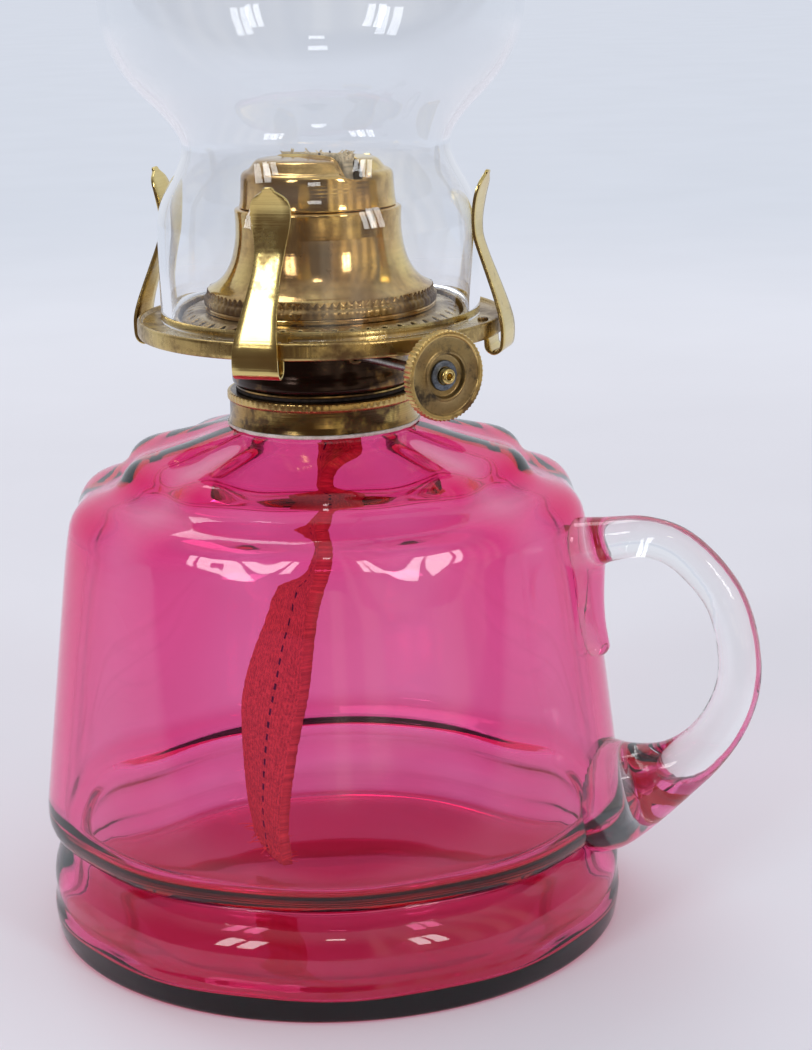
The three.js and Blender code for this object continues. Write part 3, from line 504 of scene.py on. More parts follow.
class Finishes:
    """Every finish on the lamp."""

    pink_glass = GlassFinish(
        "stained_pink_glass", (0.985, 0.95, 0.965), (0.84, 0.77, 0.80), 0.00008, 48,
        stain=(0.97, 0.05, 0.54), depth=280,
    )
    joined_glass = GlassFinish("joined_glass", index=1.0)
    handle_glass = GlassFinish("drawn_glass", wave=0.00012, wave_size=70)
    chimney_glass = GlassFinish(
        "chimney_glass_skin", (0.985, 0.99, 0.995), wave=0.00004, wave_size=40, gloss_passes=True
    )
    gallery_brass = BrassFinish(
        "gallery_brass", (0.62, 0.46, 0.18), (0.44, 0.30, 0.11), grain=Grain.UPRIGHT, film_from=0.54, roughness=0.2,
        grain_depth=0.9,
    )
    dish_brass = BrassFinish(
        "dish_brass", (0.60, 0.45, 0.20), (0.42, 0.29, 0.12), grain=Grain.RINGS, film_from=0.52, roughness=0.2
    )
    spring_brass = BrassFinish("spring_brass", (0.76, 0.61, 0.24), (0.66, 0.48, 0.17), roughness=0.15, film_from=0.64)
    dark_brass = BrassFinish(
        "tarnished_brass", (0.50, 0.37, 0.12), (0.36, 0.20, 0.07), (0.085, 0.045, 0.018), 0.49, 0.07, 60, 0.09, 0.1
    )
    bead_brass = BrassFinish("beaded_brass", (0.70, 0.52, 0.2), (0.55, 0.36, 0.13), film_from=0.6, roughness=0.2)
    cup_brass = BrassFinish(
        "cup_brass", (0.50, 0.36, 0.14), (0.30, 0.17, 0.06), (0.03, 0.014, 0.008), 0.44, 0.07, 52, 0.06, 0.08
    )
    rose_brass = BrassFinish(
        "rose_brass", (0.88, 0.68, 0.25), (0.76, 0.48, 0.19), (0.26, 0.14, 0.05), 0.56, 0.12, 34, 0.04, 0.07
    )
    crimp_brass = BrassFinish(
        "crimped_brass", (0.52, 0.37, 0.15), (0.42, 0.25, 0.10), film_from=0.47, grain=Grain.SHORT, roughness=0.22
    )
    knob_brass = BrassFinish(
        "knob_brass", (0.78, 0.57, 0.22), (0.62, 0.42, 0.15), film_from=0.58, grain=Grain.SHORT, roughness=0.24
    )
    field_brass = BrassFinish(
        "knob_field", (0.46, 0.34, 0.15), (0.34, 0.23, 0.1), (0.05, 0.035, 0.02), 0.52, 0.1, 160, 0.3, 0.2, Grain.SHORT
    )
    plaster = PlainFinish("set_plaster", (0.86, 0.84, 0.80), (0.62, 0.58, 0.52), roughness=0.9)
    washer = PlainFinish("seat_felt", (0.05, 0.035, 0.03), (0.015, 0.01, 0.01), roughness=0.85, size=900)
    steel = PlainFinish("bare_steel", (0.60, 0.58, 0.54), (0.30, 0.27, 0.24), 1.0, 0.34, 500)
    dark_metal = PlainFinish("oxidised_metal", (0.22, 0.25, 0.30), (0.06, 0.07, 0.09), 0.8, 0.42, 420)
    cotton = WickFinish()
    floor = FloorFinish()


# Shapes


def curve(start: Vector, pull: Vector, end: Vector, steps: int) -> list[Vector]:
    """Draws a curve between two points, pulled towards a third, in equal steps of its share."""
    shares = [k / steps for k in range(steps + 1)]
    return [start * (1 - t) ** 2 + pull * (2 * t * (1 - t)) + end * t**2 for t in shares]


def bow(start: Corner, pull: Corner, end: Corner, steps: int) -> list[Vector]:
    """Draws such a curve in the r-z plane."""
    return curve(*(Vector((radius, 0, height)) for radius, height in (start, pull, end)), steps)


def outline(*corners: Corner, steps: int = 6) -> list[Vector]:
    """Draws a profile in the r-z plane and rounds its corners.

    Args:
        corners: Radius, height and, for a rounded corner, how far from it the curve starts.
        steps: How many pieces a rounded corner has.

    Returns:
        The profile's points.
    """
    spots = [Vector((corner[0], 0, corner[1])) for corner in corners]
    drawn = []
    for i, (corner, here) in enumerate(zip(corners, spots)):
        if len(corner) < 3 or i in (0, len(corners) - 1):
            drawn.append(here)
            continue
        before, after = spots[i - 1] - here, spots[i + 1] - here
        start = here + before.normalized() * min(corner[2], before.length * 0.5)
        end = here + after.normalized() * min(corner[2], after.length * 0.5)
        drawn.extend(curve(start, here, end, steps))
    return drawn


def spaced(points: Sequence[Vector], longest: float) -> list[Vector]:
    """Adds points to a profile until no stretch is longer than a length.

    Args:
        points: The profile.
        longest: The length.

    Returns:
        The finer profile.
    """
    made = [points[0]]
    for before, after in zip(points, points[1:]):
        count = max(1, math.ceil((after - before).length / longest))
        made.extend(before.lerp(after, k / count) for k in range(1, count + 1))
    return made


def leftward(points: Sequence[Vector], i: int) -> Vector:
    """Gives the direction to the left of a profile at one of its points."""
    along = (points[min(i + 1, len(points) - 1)] - points[max(i - 1, 0)]).normalized()
    return Vector((-along.z, 0, along.x))


def walled(points: Sequence[Vector], thickness: float) -> list[Vector]:
    """Closes a profile round a wall on the left of its direction."""
    moved = [point + leftward(points, i) * thickness for i, point in enumerate(points)]
    return [*points, *reversed(moved)]


def spun(bm: BMesh, points: Sequence[Vector], steps: int, closed: bool = False, material: int = 0) -> None:
    """Turns a profile about the axis.

    Args:
        bm: The mesh that takes it.
        points: The profile.
        steps: How many steps a full turn has.
        closed: Whether the profile's end joins its start.
        material: The material of the new faces.
    """
    old = set(bm.faces)
    verts = [bm.verts.new(point) for point in points]
    edges = [bm.edges.new(pair) for pair in zip(verts, verts[1:])]
    if closed:
        edges.append(bm.edges.new((verts[-1], verts[0])))
    bmesh.ops.spin(
        bm, geom=verts + edges, cent=(0, 0, 0), axis=(0, 0, 1), dvec=(0, 0, 0), angle=2 * math.pi, steps=steps,
        use_merge=True, use_duplicate=False,
    )
    for face in set(bm.faces) - old:
        face.material_index = material


def tidied(bm: BMesh) -> BMesh:
    """Merges doubles and turns the faces outwards.

    Args:
        bm: The mesh.

    Returns:
        The same mesh.
    """
    bmesh.ops.remove_doubles(bm, verts=bm.verts, dist=MERGE)
    bmesh.ops.recalc_face_normals(bm, faces=bm.faces)
    return bm


def turned(points: Sequence[Vector], steps: int, closed: bool = True) -> BMesh:
    """Gives a new mesh of a turned profile.

    Args:
        points: The profile.
        steps: How many steps a full turn has.
        closed: Whether the profile's end joins its start.

    Returns:
        The mesh.
    """
    bm = bmesh.new()
    spun(bm, points, steps, closed)
    return tidied(bm)


def azimuth_of(point: Vector) -> float:
    """Gives a point's azimuth, in radians."""
    return math.atan2(point.x, -point.y)


def spread(point: Vector, share: float) -> Vector:
    """Moves a point to a share of its distance from the axis."""
    return Vector((point.x * share, point.y * share, point.z))


def milled(bm: BMesh, teeth: int, depth: float, beyond: float, above: float = -math.inf) -> None:
    """Cuts teeth into the edge of a turned piece.

    Args:
        bm: The mesh.
        teeth: How many there are.
        depth: How deep they are.
        beyond: The radius past which they are.
        above: The height over which they are.
    """
    for vert in bm.verts:
        radius = math.hypot(vert.co.x, vert.co.y)
        if radius > beyond and vert.co.z > above:
            wave = (1 - math.cos(teeth * azimuth_of(vert.co))) / 2
            vert.co = spread(vert.co, 1 - depth * wave / radius)


def moved(bm: BMesh, matrix: Matrix) -> BMesh:
    """Moves a mesh."""
    bmesh.ops.transform(bm, matrix=matrix, verts=bm.verts)
    return bm


def facing(azimuth: float) -> Matrix:
    """Gives the turn that points +X out at an azimuth in degrees."""
    return Matrix.Rotation(math.radians(azimuth - 90), 4, "Z")


def face_along(bm: BMesh, axis: int) -> None:
    """Turns a sheet over if its faces look down an axis."""
    if sum(face.normal[axis] for face in bm.faces) < 0:
        bmesh.ops.reverse_faces(bm, faces=bm.faces)


def smooth(value: float, low: float, high: float) -> float:
    """Rises smoothly from 0 to 1 between two values."""
    share = min(max((value - low) / (high - low), 0.0), 1.0)
    return share * share * (3 - 2 * share)


def along_curve(knots: Sequence[Sequence[float]], share: float) -> list[float]:
    """Gives a row of numbers a share of the way along smooth curves through rows of knots.

    Args:
        knots: The rows, evenly spaced along the curve.
        share: How far along, from 0 to 1.

    Returns:
        The row there.
    """
    reach = share * (len(knots) - 1)
    i = min(int(reach), len(knots) - 2)
    t = reach - i
    rows = [knots[max(i - 1, 0)], knots[i], knots[i + 1], knots[min(i + 2, len(knots) - 1)]]
    return [
        0.5 * (2 * b + (c - a) * t + (2 * a - 5 * b + 4 * c - d) * t**2 + (3 * b - a - 3 * c + d) * t**3)
        for a, b, c, d in zip(*rows)
    ]


def ring_pairs(ring: Sequence[BMVert]) -> list[tuple[BMVert, BMVert]]:
    """Pairs each vertex of a closed ring with the next."""
    return list(zip(ring, [*ring[1:], ring[0]]))


def extruded_ring(bm: BMesh, ring: list[BMVert], points: Sequence[Vector]) -> list[BMVert]:
    """Extrudes a closed ring of edges and moves the new ring to its points.

    Args:
        bm: The mesh.
        ring: The ring's vertices in order.
        points: Where the new ring goes.

    Returns:
        The new ring's vertices in order.
    """
    edges = [bm.edges.get(pair) for pair in ring_pairs(ring)]
    made = set(bmesh.ops.extrude_edge_only(bm, edges=edges)["geom"])
    ends = [[edge.other_vert(vert) for edge in vert.link_edges] for vert in ring]
    fresh = [next(end for end in choice if end in made) for choice in ends]
    for vert, point in zip(fresh, points):
        vert.co = point
    return fresh


def swept(bm: BMesh, rings: Sequence[Sequence[Vector]]) -> None:
    """Draws a closed tube.

    Args:
        bm: The mesh that takes it.
        rings: Rings of equally many points, from one end to the other.
    """
    ring = [bm.verts.new(point) for point in rings[0]]
    bmesh.ops.contextual_create(bm, geom=[bm.edges.new(pair) for pair in ring_pairs(ring)])
    for points in rings[1:]:
        ring = extruded_ring(bm, ring, points)
    bmesh.ops.contextual_create(bm, geom=[bm.edges.get(pair) for pair in ring_pairs(ring)])


def circle(radius: float, height: float, turns: Sequence[float]) -> list[Vector]:
    """Gives the points of a level circle at some turns."""
    return [Vector((radius * math.cos(turn), radius * math.sin(turn), height)) for turn in turns]


def full_turn(count: int) -> list[float]:
    """Gives evenly spaced turns, in radians."""
    return [2 * math.pi * k / count for k in range(count)]


def oval(centre: Vector, first: Vector, second: Vector, count: int = 24) -> list[Vector]:
    """Gives an oval ring from its middle and its two half axes."""
    return [centre + first * math.cos(turn) + second * math.sin(turn) for turn in full_turn(count)]


def meshed(name: str, bm: BMesh) -> bpy.types.Mesh:
    """Turns a working mesh into a finished one.

    Args:
        name: The finished mesh's name.
        bm: The working mesh, which is freed.

    Returns:
        The finished mesh.
    """
    mesh = bpy.data.meshes.new(name)
    bm.to_mesh(mesh)
    bm.free()
    return mesh


def linked(name: str, data: bpy.types.ID) -> bpy.types.Object:
    """Puts a new object into the scene.

    Args:
        name: Its name.
        data: Its mesh, light or camera.

    Returns:
        The object.
    """
    made = bpy.data.objects.new(name, data)
    bpy.context.scene.collection.objects.link(made)
    return made


def fused(bm: BMesh, voxel: float, rounds: int) -> BMesh:
    """Melts overlapping shapes into one smooth skin.

    Args:
        bm: The shapes.
        voxel: The fineness of the skin.
        rounds: How often it is smoothed.

    Returns:
        A new mesh.
    """
    piece = linked("melt", meshed("melt", bm))
    melt = piece.modifiers.new("melt", "REMESH")
    melt.mode = "VOXEL"
    melt.voxel_size = voxel
    skin = bpy.data.meshes.new_from_object(piece.evaluated_get(bpy.context.evaluated_depsgraph_get()))
    bpy.data.objects.remove(piece)
    made = bmesh.new()
    made.from_mesh(skin)
    bpy.data.meshes.remove(skin)
    for _ in range(rounds):
        bmesh.ops.smooth_vert(made, verts=made.verts, factor=0.5, use_axis_x=True, use_axis_y=True, use_axis_z=True)
    return made


def thickened(piece: bpy.types.Object, thickness: float, offset: float = 0) -> None:
    """Gives a sheet its thickness.

    Args:
        piece: The sheet.
        thickness: Its thickness, in millimetres.
        offset: The side that it lies on: -1 behind the faces, 0 on both sides.
    """
    wall = piece.modifiers.new("wall", "SOLIDIFY")
    wall.thickness = thickness * MM
    wall.offset = offset


def rounded(piece: bpy.types.Object, levels: int) -> None:
    """Rounds a piece by subdivision."""
    rounding = piece.modifiers.new("rounding", "SUBSURF")
    rounding.levels = rounding.render_levels = levels


# The lamp


@dataclass
class SubAssembly:
    """Pieces that are made and dressed together."""

    pieces: dict[str, bpy.types.Object] = field(default_factory=dict, init=False)

    def keep(self, name: str, bm: BMesh, body: str, *nodes: str, sharp: float = SHARP) -> bpy.types.Object:
        """Turns a mesh in millimetres into a finished piece.

        Args:
            name: The piece's name.
            bm: Its mesh.
            body: The body that it rides on.
            nodes: The CAD nodes that it stands for.
            sharp: Edges sharper than this angle stay hard.

        Returns:
            The piece.
        """
        bmesh.ops.scale(bm, vec=(MM, MM, MM), verts=bm.verts)
        mesh = meshed(name, bm)
        mesh.shade_smooth()
        mesh.set_sharp_from_angle(angle=sharp)
        piece = linked(name, mesh)
        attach(piece, body)
        if nodes:
            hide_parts(*nodes)
        self.pieces[name] = piece
        log.info("%s rides on %s with %d faces", name, body, len(mesh.polygons))
        return piece

    def wear(self, name: str, slot: str, *finishes: Finish) -> None:
        """Gives a piece its finishes.

        Args:
            name: The piece's name.
            slot: The record's slot, which is not used.
            finishes: The finishes, in the order of the faces' material numbers.
        """
        piece = self.pieces[name]
        for finish in finishes:
            piece.data.materials.append(finish.material())

    @staticmethod
    def repaint(node: str, finish: Finish) -> None:
        """Gives a CAD node that stays a better material."""
        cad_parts[node].data.materials[0] = finish.material()

    def build(self) -> None:
        """Makes the pieces."""
        raise NotImplementedError

    def dress(self) -> None:
        """Gives the pieces their finishes."""
        raise NotImplementedError


@dataclass
class OilFont(SubAssembly):
    """The panelled glass font, whose panels are shallower inside the wall and deeper at the floor."""

    outside: Profile = (
        (0, 2.0), (30, 1.8, 8), (54, 1.2, 4), (60.5, 0, 2), (65.2, 0, 1.8), (66.4, 7.0, 3.2), (65.5, 9.4, 1.6),
        (66.1, 16.6, 6.0), (59.2, 23.2, 1.8), (67.45, 25.4, 7), (58.1, 100.4, 5.5), (47.4, 104.1, 3.3),
        (44.8, 109.4, 4.0), (31.0, 112.8, 8), (20.6, 115.4, 1.2), (18.97, 117.4, 1.2), (18.97, 121.4),
    )
    inside: Profile = (
        (18.97, 121.4), (16.97, 121.4), (16.97, 112.4, 1.6), (28.5, 108.8, 6), (40.6, 105.4, 4.5), (44.2, 100.9, 4.5),
        (54.4, 96.9, 4.6), (64.0, 29.2, 3.5), (56.8, 26.2, 2.2), (56.0, 22.8, 2.2), (62.9, 16.2, 5.0), (63.0, 4.2, 1.8),
        (54, 6.2, 5), (30, 7.3, 8), (0, 7.5),
    )
    panels: int = 10
    foot_depth: float = 0.45
    wall_depth: float = 0.95
    petal_depth: float = 2.5
    flute_depth: float = 0.7
    foot_rise: Span = (0, 4)
    wall_rise: Span = (19, 28)
    petal_rise: Span = (88, 100)
    neck_rise: Span = (110, 116)
    flute_rise: Span = (95, 101)
    flute_inner: Span = (20, 32)
    flute_outer: Span = (46, 59)
    floor_rise: Span = (11, 20)
    crown_rise: Span = (99, 105)
    full_radius: float = 40
    steps: int = 160
    fineness: float = 3.2
    waist: float = 24.5
    lining_share: float = 0.55
    floor_share: float = 2.6
    crown_share: float = 0.25

    def depth_at(self, height: float) -> float:
        """Gives how deep the panels are.

        Args:
            height: The height there.

        Returns:
            The depth.
        """
        foot = self.foot_depth * smooth(height, *self.foot_rise)
        wall = (self.wall_depth - self.foot_depth) * smooth(height, *self.wall_rise)
        petals = (self.petal_depth - self.wall_depth) * smooth(height, *self.petal_rise)
        return (foot + wall + petals) * (1 - smooth(height, *self.neck_rise))

    def drop_at(self, radius: float, height: float) -> float:
        """Gives how far the top sinks between its ridges."""
        across = smooth(radius, *self.flute_inner) * (1 - smooth(radius, *self.flute_outer))
        return self.flute_depth * smooth(height, *self.flute_rise) * across

    def panelled(self, point: Vector, share_of_depth: float = 1) -> Vector:
        """Moves a point of the round shape to the panelled one.

        Args:
            point: The point.
            share_of_depth: How deep its panels are against those of the skin.

        Returns:
            Where it goes.
        """
        radius = math.hypot(point.x, point.y)
        if radius < MERGE:
            return point
        wave = (1 - math.cos(self.panels * azimuth_of(point))) / 2
        share = 1 - share_of_depth * self.depth_at(point.z) * wave * min(radius / self.full_radius, 1) / radius
        drop = share_of_depth * self.drop_at(radius, point.z) * wave
        return Vector((point.x * share, point.y * share, point.z - drop))

    def __post_init__(self) -> None:
        """Keeps the outer skin's profile from the waist up."""
        self.skin = [point for point in outline(*self.outside) if point.z > self.waist]

    def radius_at(self, height: float) -> float:
        """Gives the ridges' radius outside.

        Args:
            height: The height there.

        Returns:
            The radius.
        """
        for low, high in zip(self.skin, self.skin[1:]):
            if low.z <= height <= high.z:
                return low.lerp(high, (height - low.z) / max(high.z - low.z, MERGE)).x
        return self.skin[-1].x

    def skin_at(self, point: Vector) -> float:
        """Gives the outer skin's distance from the axis beside a point."""
        share = self.radius_at(point.z) / math.hypot(point.x, point.y)
        return self.panelled(spread(point, share)).xy.length

    def build(self) -> None:
        """Makes the font's shell."""
        bm = bmesh.new()
        spun(bm, spaced(outline(*self.outside), self.fineness), self.steps)
        spun(bm, spaced(outline(*self.inside), self.fineness), self.steps, material=1)
        tidied(bm)
        for vert in bm.verts:
            lined = all(face.material_index for face in vert.link_faces)
            floor = (self.floor_share - self.lining_share) * (1 - smooth(vert.co.z, *self.floor_rise))
            lining = self.lining_share + floor + self.crown_share * smooth(vert.co.z, *self.crown_rise)
            vert.co = self.panelled(vert.co, lining if lined else 1)
        for face in bm.faces:
            face.material_index = 0
        self.keep("font_glass", bm, "font", "oil_font", sharp=SHARP_GLASS)

    def dress(self) -> None:
        """Pink glass, darker where it is thick."""
        self.wear("font_glass", "cranberry_glass", Finishes.pink_glass)


@dataclass
class Handle(SubAssembly):
    """The applied handle: a drawn rod, its broad lower dab and its tooled tail."""

    font: OilFont = field(default_factory=OilFont)
    azimuth: float = 68
    sunk: float = 0.8
    rod: Profile = (
        (58.2, 90.5, 6.6, 6.2), (65.5, 92.3, 5.3, 5.0), (73.2, 93.4, 4.7, 4.6), (80.6, 91.6, 4.6, 4.6),
        (87.2, 86.2, 4.6, 4.6), (91.8, 79.6, 4.6, 4.6), (94.3, 70.6, 4.7, 4.7), (94.4, 61.6, 4.9, 4.9),
        (91.6, 53.4, 5.2, 5.2), (87.0, 46.6, 5.7, 5.6), (80.6, 41.0, 7.0, 6.8), (73.2, 36.8, 10.2, 9.6),
        (66.4, 34.2, 14.2, 12.6), (61.5, 33.4, 15.6, 13.4),
    )
    tail: Profile = (
        (94.6, 5.6, 2.4), (90.5, 7.0, 5.2), (85.5, 6.6, 4.8), (80.5, 5.9, 4.2), (75.5, 5.0, 4.0), (71.0, 4.2, 4.2),
        (67.6, 3.4, 4.3), (65.4, 1.7, 2.6),
    )
    path_step: float = 0.01
    rod_rings: int = 90
    tail_rings: int = 30
    tail_inset: float = 0.4
    tail_sway: float = 0.9
    sway_turn: float = 7.0
    melt_fineness: float = 0.6
    melt_rounds: int = 14
    joined_share: float = 0.25

    def rod_ring(self, share: float) -> list[Vector]:
        """Gives a ring of the rod, across its path.

        Args:
            share: How far along the rod it is.

        Returns:
            The ring's points.
        """
        out, height, wide, deep = along_curve(self.rod, share)
        before = along_curve(self.rod, max(share - self.path_step, 0))
        after = along_curve(self.rod, min(share + self.path_step, 1))
        along = Vector((after[0] - before[0], 0, after[1] - before[1])).normalized()
        return oval(Vector((out, 0, height)), Vector((-along.z, 0, along.x)) * deep, Vector((0, wide, 0)))

    def tail_ring(self, share: float) -> list[Vector]:
        """Gives a level ring of the tail, half in the wall.

        Args:
            share: How far down the tail it is.

        Returns:
            The ring's points.
        """
        height, wide, deep = along_curve(self.tail, share)
        sway = self.tail_sway * math.sin(share * self.sway_turn)
        centre = Vector((self.font.radius_at(height) - self.tail_inset, sway, height))
        return oval(centre, Vector((deep, 0, 0)), Vector((0, wide, 0)))

    def seated(self, point: Vector) -> Vector:
        """Brings a point that is deep in the font's wall back to a little under its skin.

        Args:
            point: The point.

        Returns:
            Where it goes.
        """
        radius = math.hypot(point.x, point.y)
        least = self.font.skin_at(point) - self.sunk
        if radius >= least:
            return point
        return Vector((point.x * least / radius, point.y * least / radius, point.z))

    def build(self) -> None:
        """Makes the handle as one melted piece."""
        bm = bmesh.new()
        swept(bm, [self.rod_ring(k / self.rod_rings) for k in range(self.rod_rings + 1)])
        swept(bm, [self.tail_ring(k / self.tail_rings) for k in range(self.tail_rings + 1)])
        bmesh.ops.recalc_face_normals(moved(bm, facing(self.azimuth)), faces=bm.faces)
        made = fused(bm, self.melt_fineness, self.melt_rounds)
        for vert in made.verts:
            vert.co = self.seated(vert.co)
        for face in made.faces:
            centre = face.calc_center_median()
            skin = self.font.skin_at(centre)
            face.material_index = int(centre.xy.length < skin - self.sunk * self.joined_share)
        self.keep("drawn_handle", made, "font", "handle", sharp=SHARP_MELTED)

    def dress(self) -> None:
        """Clear drawn glass, which doesn't bend light where it is sunk in the font."""
        self.wear("drawn_handle", "clear_glass", Finishes.handle_glass, Finishes.joined_glass)


@dataclass
class Collar(SubAssembly):
    """The screw collar with its milled ring, and the plaster that holds it."""

    teeth: int = 84
    tooth: float = 0.13
    thread_radius: float = 15.87
    thread_depth: float = 0.35
    thread_pitch: float = 2.1
    thread_low: float = 117.2
    thread_high: float = 122.2
    thread_fade: float = 0.5
    thread_within: float = 16.5
    wall: float = 0.45
    row: float = 0.25
    rows: int = 21
    steps: int = 336
    skirt: Profile = (
        (20.75, 116.3), (21.25, 116.3), (20.9, 117.5, 0.9), (20.9, 121.25, 0.2), (21.38, 121.35, 0.25),
        (21.38, 123.1, 0.4), (20.6, 123.1, 0.2), (16.4, 123.1, 0.5), (15.87, 122.4, 0.2),
    )
    lining: Profile = ((16.3, 122.6), (20.45, 122.6, 0.3), (20.45, 117.4), (20.75, 116.3))
    bead: Span = (20.6, 121.2)
    milled_from: Span = (21.2, 121.3)
    plaster: Profile = (
        (18.99, 115.6), (21.5, 115.35, 0.4), (21.45, 116.2, 0.2), (20.4, 116.25), (20.4, 121.1), (18.99, 121.1),
    )
    plaster_edge: float = 21.0
    plaster_relief: float = 0.25

    def threaded(self, bm: BMesh, within: float) -> None:
        """Waves the rows inside a radius into a rolled thread.

        Args:
            bm: The mesh.
            within: The radius.
        """
        for vert in bm.verts:
            radius = math.hypot(vert.co.x, vert.co.y)
            if radius > within or not self.thread_low <= vert.co.z <= self.thread_high:
                continue
            turn = 2 * math.pi * vert.co.z / self.thread_pitch - math.atan2(vert.co.y, vert.co.x)
            fade = smooth(vert.co.z, self.thread_low, self.thread_low + self.thread_fade)
            vert.co = spread(vert.co, 1 + self.thread_depth * math.cos(turn) * fade / radius)

    def build(self) -> None:
        """Makes the collar and the plaster."""
        rows = [self.thread_high - self.row * k for k in range(self.rows)]
        points = outline(*self.skirt, steps=3)
        points += [Vector((self.thread_radius, 0, row)) for row in rows]
        points += [Vector((self.thread_radius + self.wall, 0, row)) for row in reversed(rows)]
        points += outline(*self.lining)[:-1]
        bm = turned(points, self.steps)
        milled(bm, self.teeth, self.tooth, *self.milled_from)
        for face in bm.faces:
            centre = face.calc_center_median()
            face.material_index = int(centre.xy.length > self.bead[0] and centre.z > self.bead[1])
        self.threaded(bm, self.thread_within)
        self.keep("screw_collar", bm, "font", "collar")
        plaster = turned(outline(*self.plaster), 200)
        for vert in plaster.verts:
            if math.hypot(vert.co.x, vert.co.y) > self.plaster_edge:
                out = Vector((vert.co.x, vert.co.y, 0)).normalized()
                vert.co += out * self.plaster_relief * noise.noise(vert.co * 0.5)
        self.keep("plaster_bed", plaster, "font", "plaster_ring")

    def dress(self) -> None:
        """Tarnished brass on white plaster."""
        self.wear("screw_collar", "worn_brass", Finishes.dark_brass, Finishes.bead_brass)
        self.wear("plaster_bed", "plaster", Finishes.plaster)


@dataclass
class ScrewBase(SubAssembly):
    """The burner's seat washer, its thread shell and the cup above."""

    collar: Collar = field(default_factory=Collar)
    sheet: float = 0.5
    gasket: Profile = ((16.2, 123.15), (19.4, 123.15, 0.25), (19.4, 123.85, 0.25), (16.2, 123.85))
    shell_inner: float = 15.0
    shell_outer: float = 15.45
    shell_low: float = 117.5
    row: float = 0.25
    rows: int = 19
    flange: Profile = ((15.45, 123.9), (19.4, 123.9, 0.2), (19.4, 124.4), (15.0, 124.4))
    cup: Profile = (
        (0, 124.45), (20.15, 124.45, 1.5), (20.2, 127.0, 0.9), (19.55, 128.7, 1.0), (19.5, 134.5, 2.4),
        (23.0, 136.85, 2.6), (32.3, 136.85),
    )

    def build(self) -> None:
        """Makes the washer, the shell and the cup."""
        self.keep("seat_gasket", turned(outline(*self.gasket), 96), "seat_washer", "seat_washer")
        rows = [self.shell_low + self.row * k for k in range(self.rows)]
        points = [Vector((self.shell_inner, 0, row)) for row in reversed(rows)]
        points += [Vector((self.shell_outer, 0, row)) for row in rows]
        shell = turned(points + outline(*self.flange), 144)
        self.collar.threaded(shell, self.shell_outer + self.sheet)
        self.keep("screw_shell", shell, "burner", "thread_shell")
        cup = walled(outline(*self.cup), self.sheet)
        self.keep("cup_shell", turned(cup, 144, closed=False), "burner", "burner_cup")

    def dress(self) -> None:
        """Dark mirror-like brass on a dark gasket."""
        self.wear("seat_gasket", "felt", Finishes.washer)
        self.wear("screw_shell", "worn_brass", Finishes.dark_brass)
        self.wear("cup_shell", "worn_brass", Finishes.cup_brass)


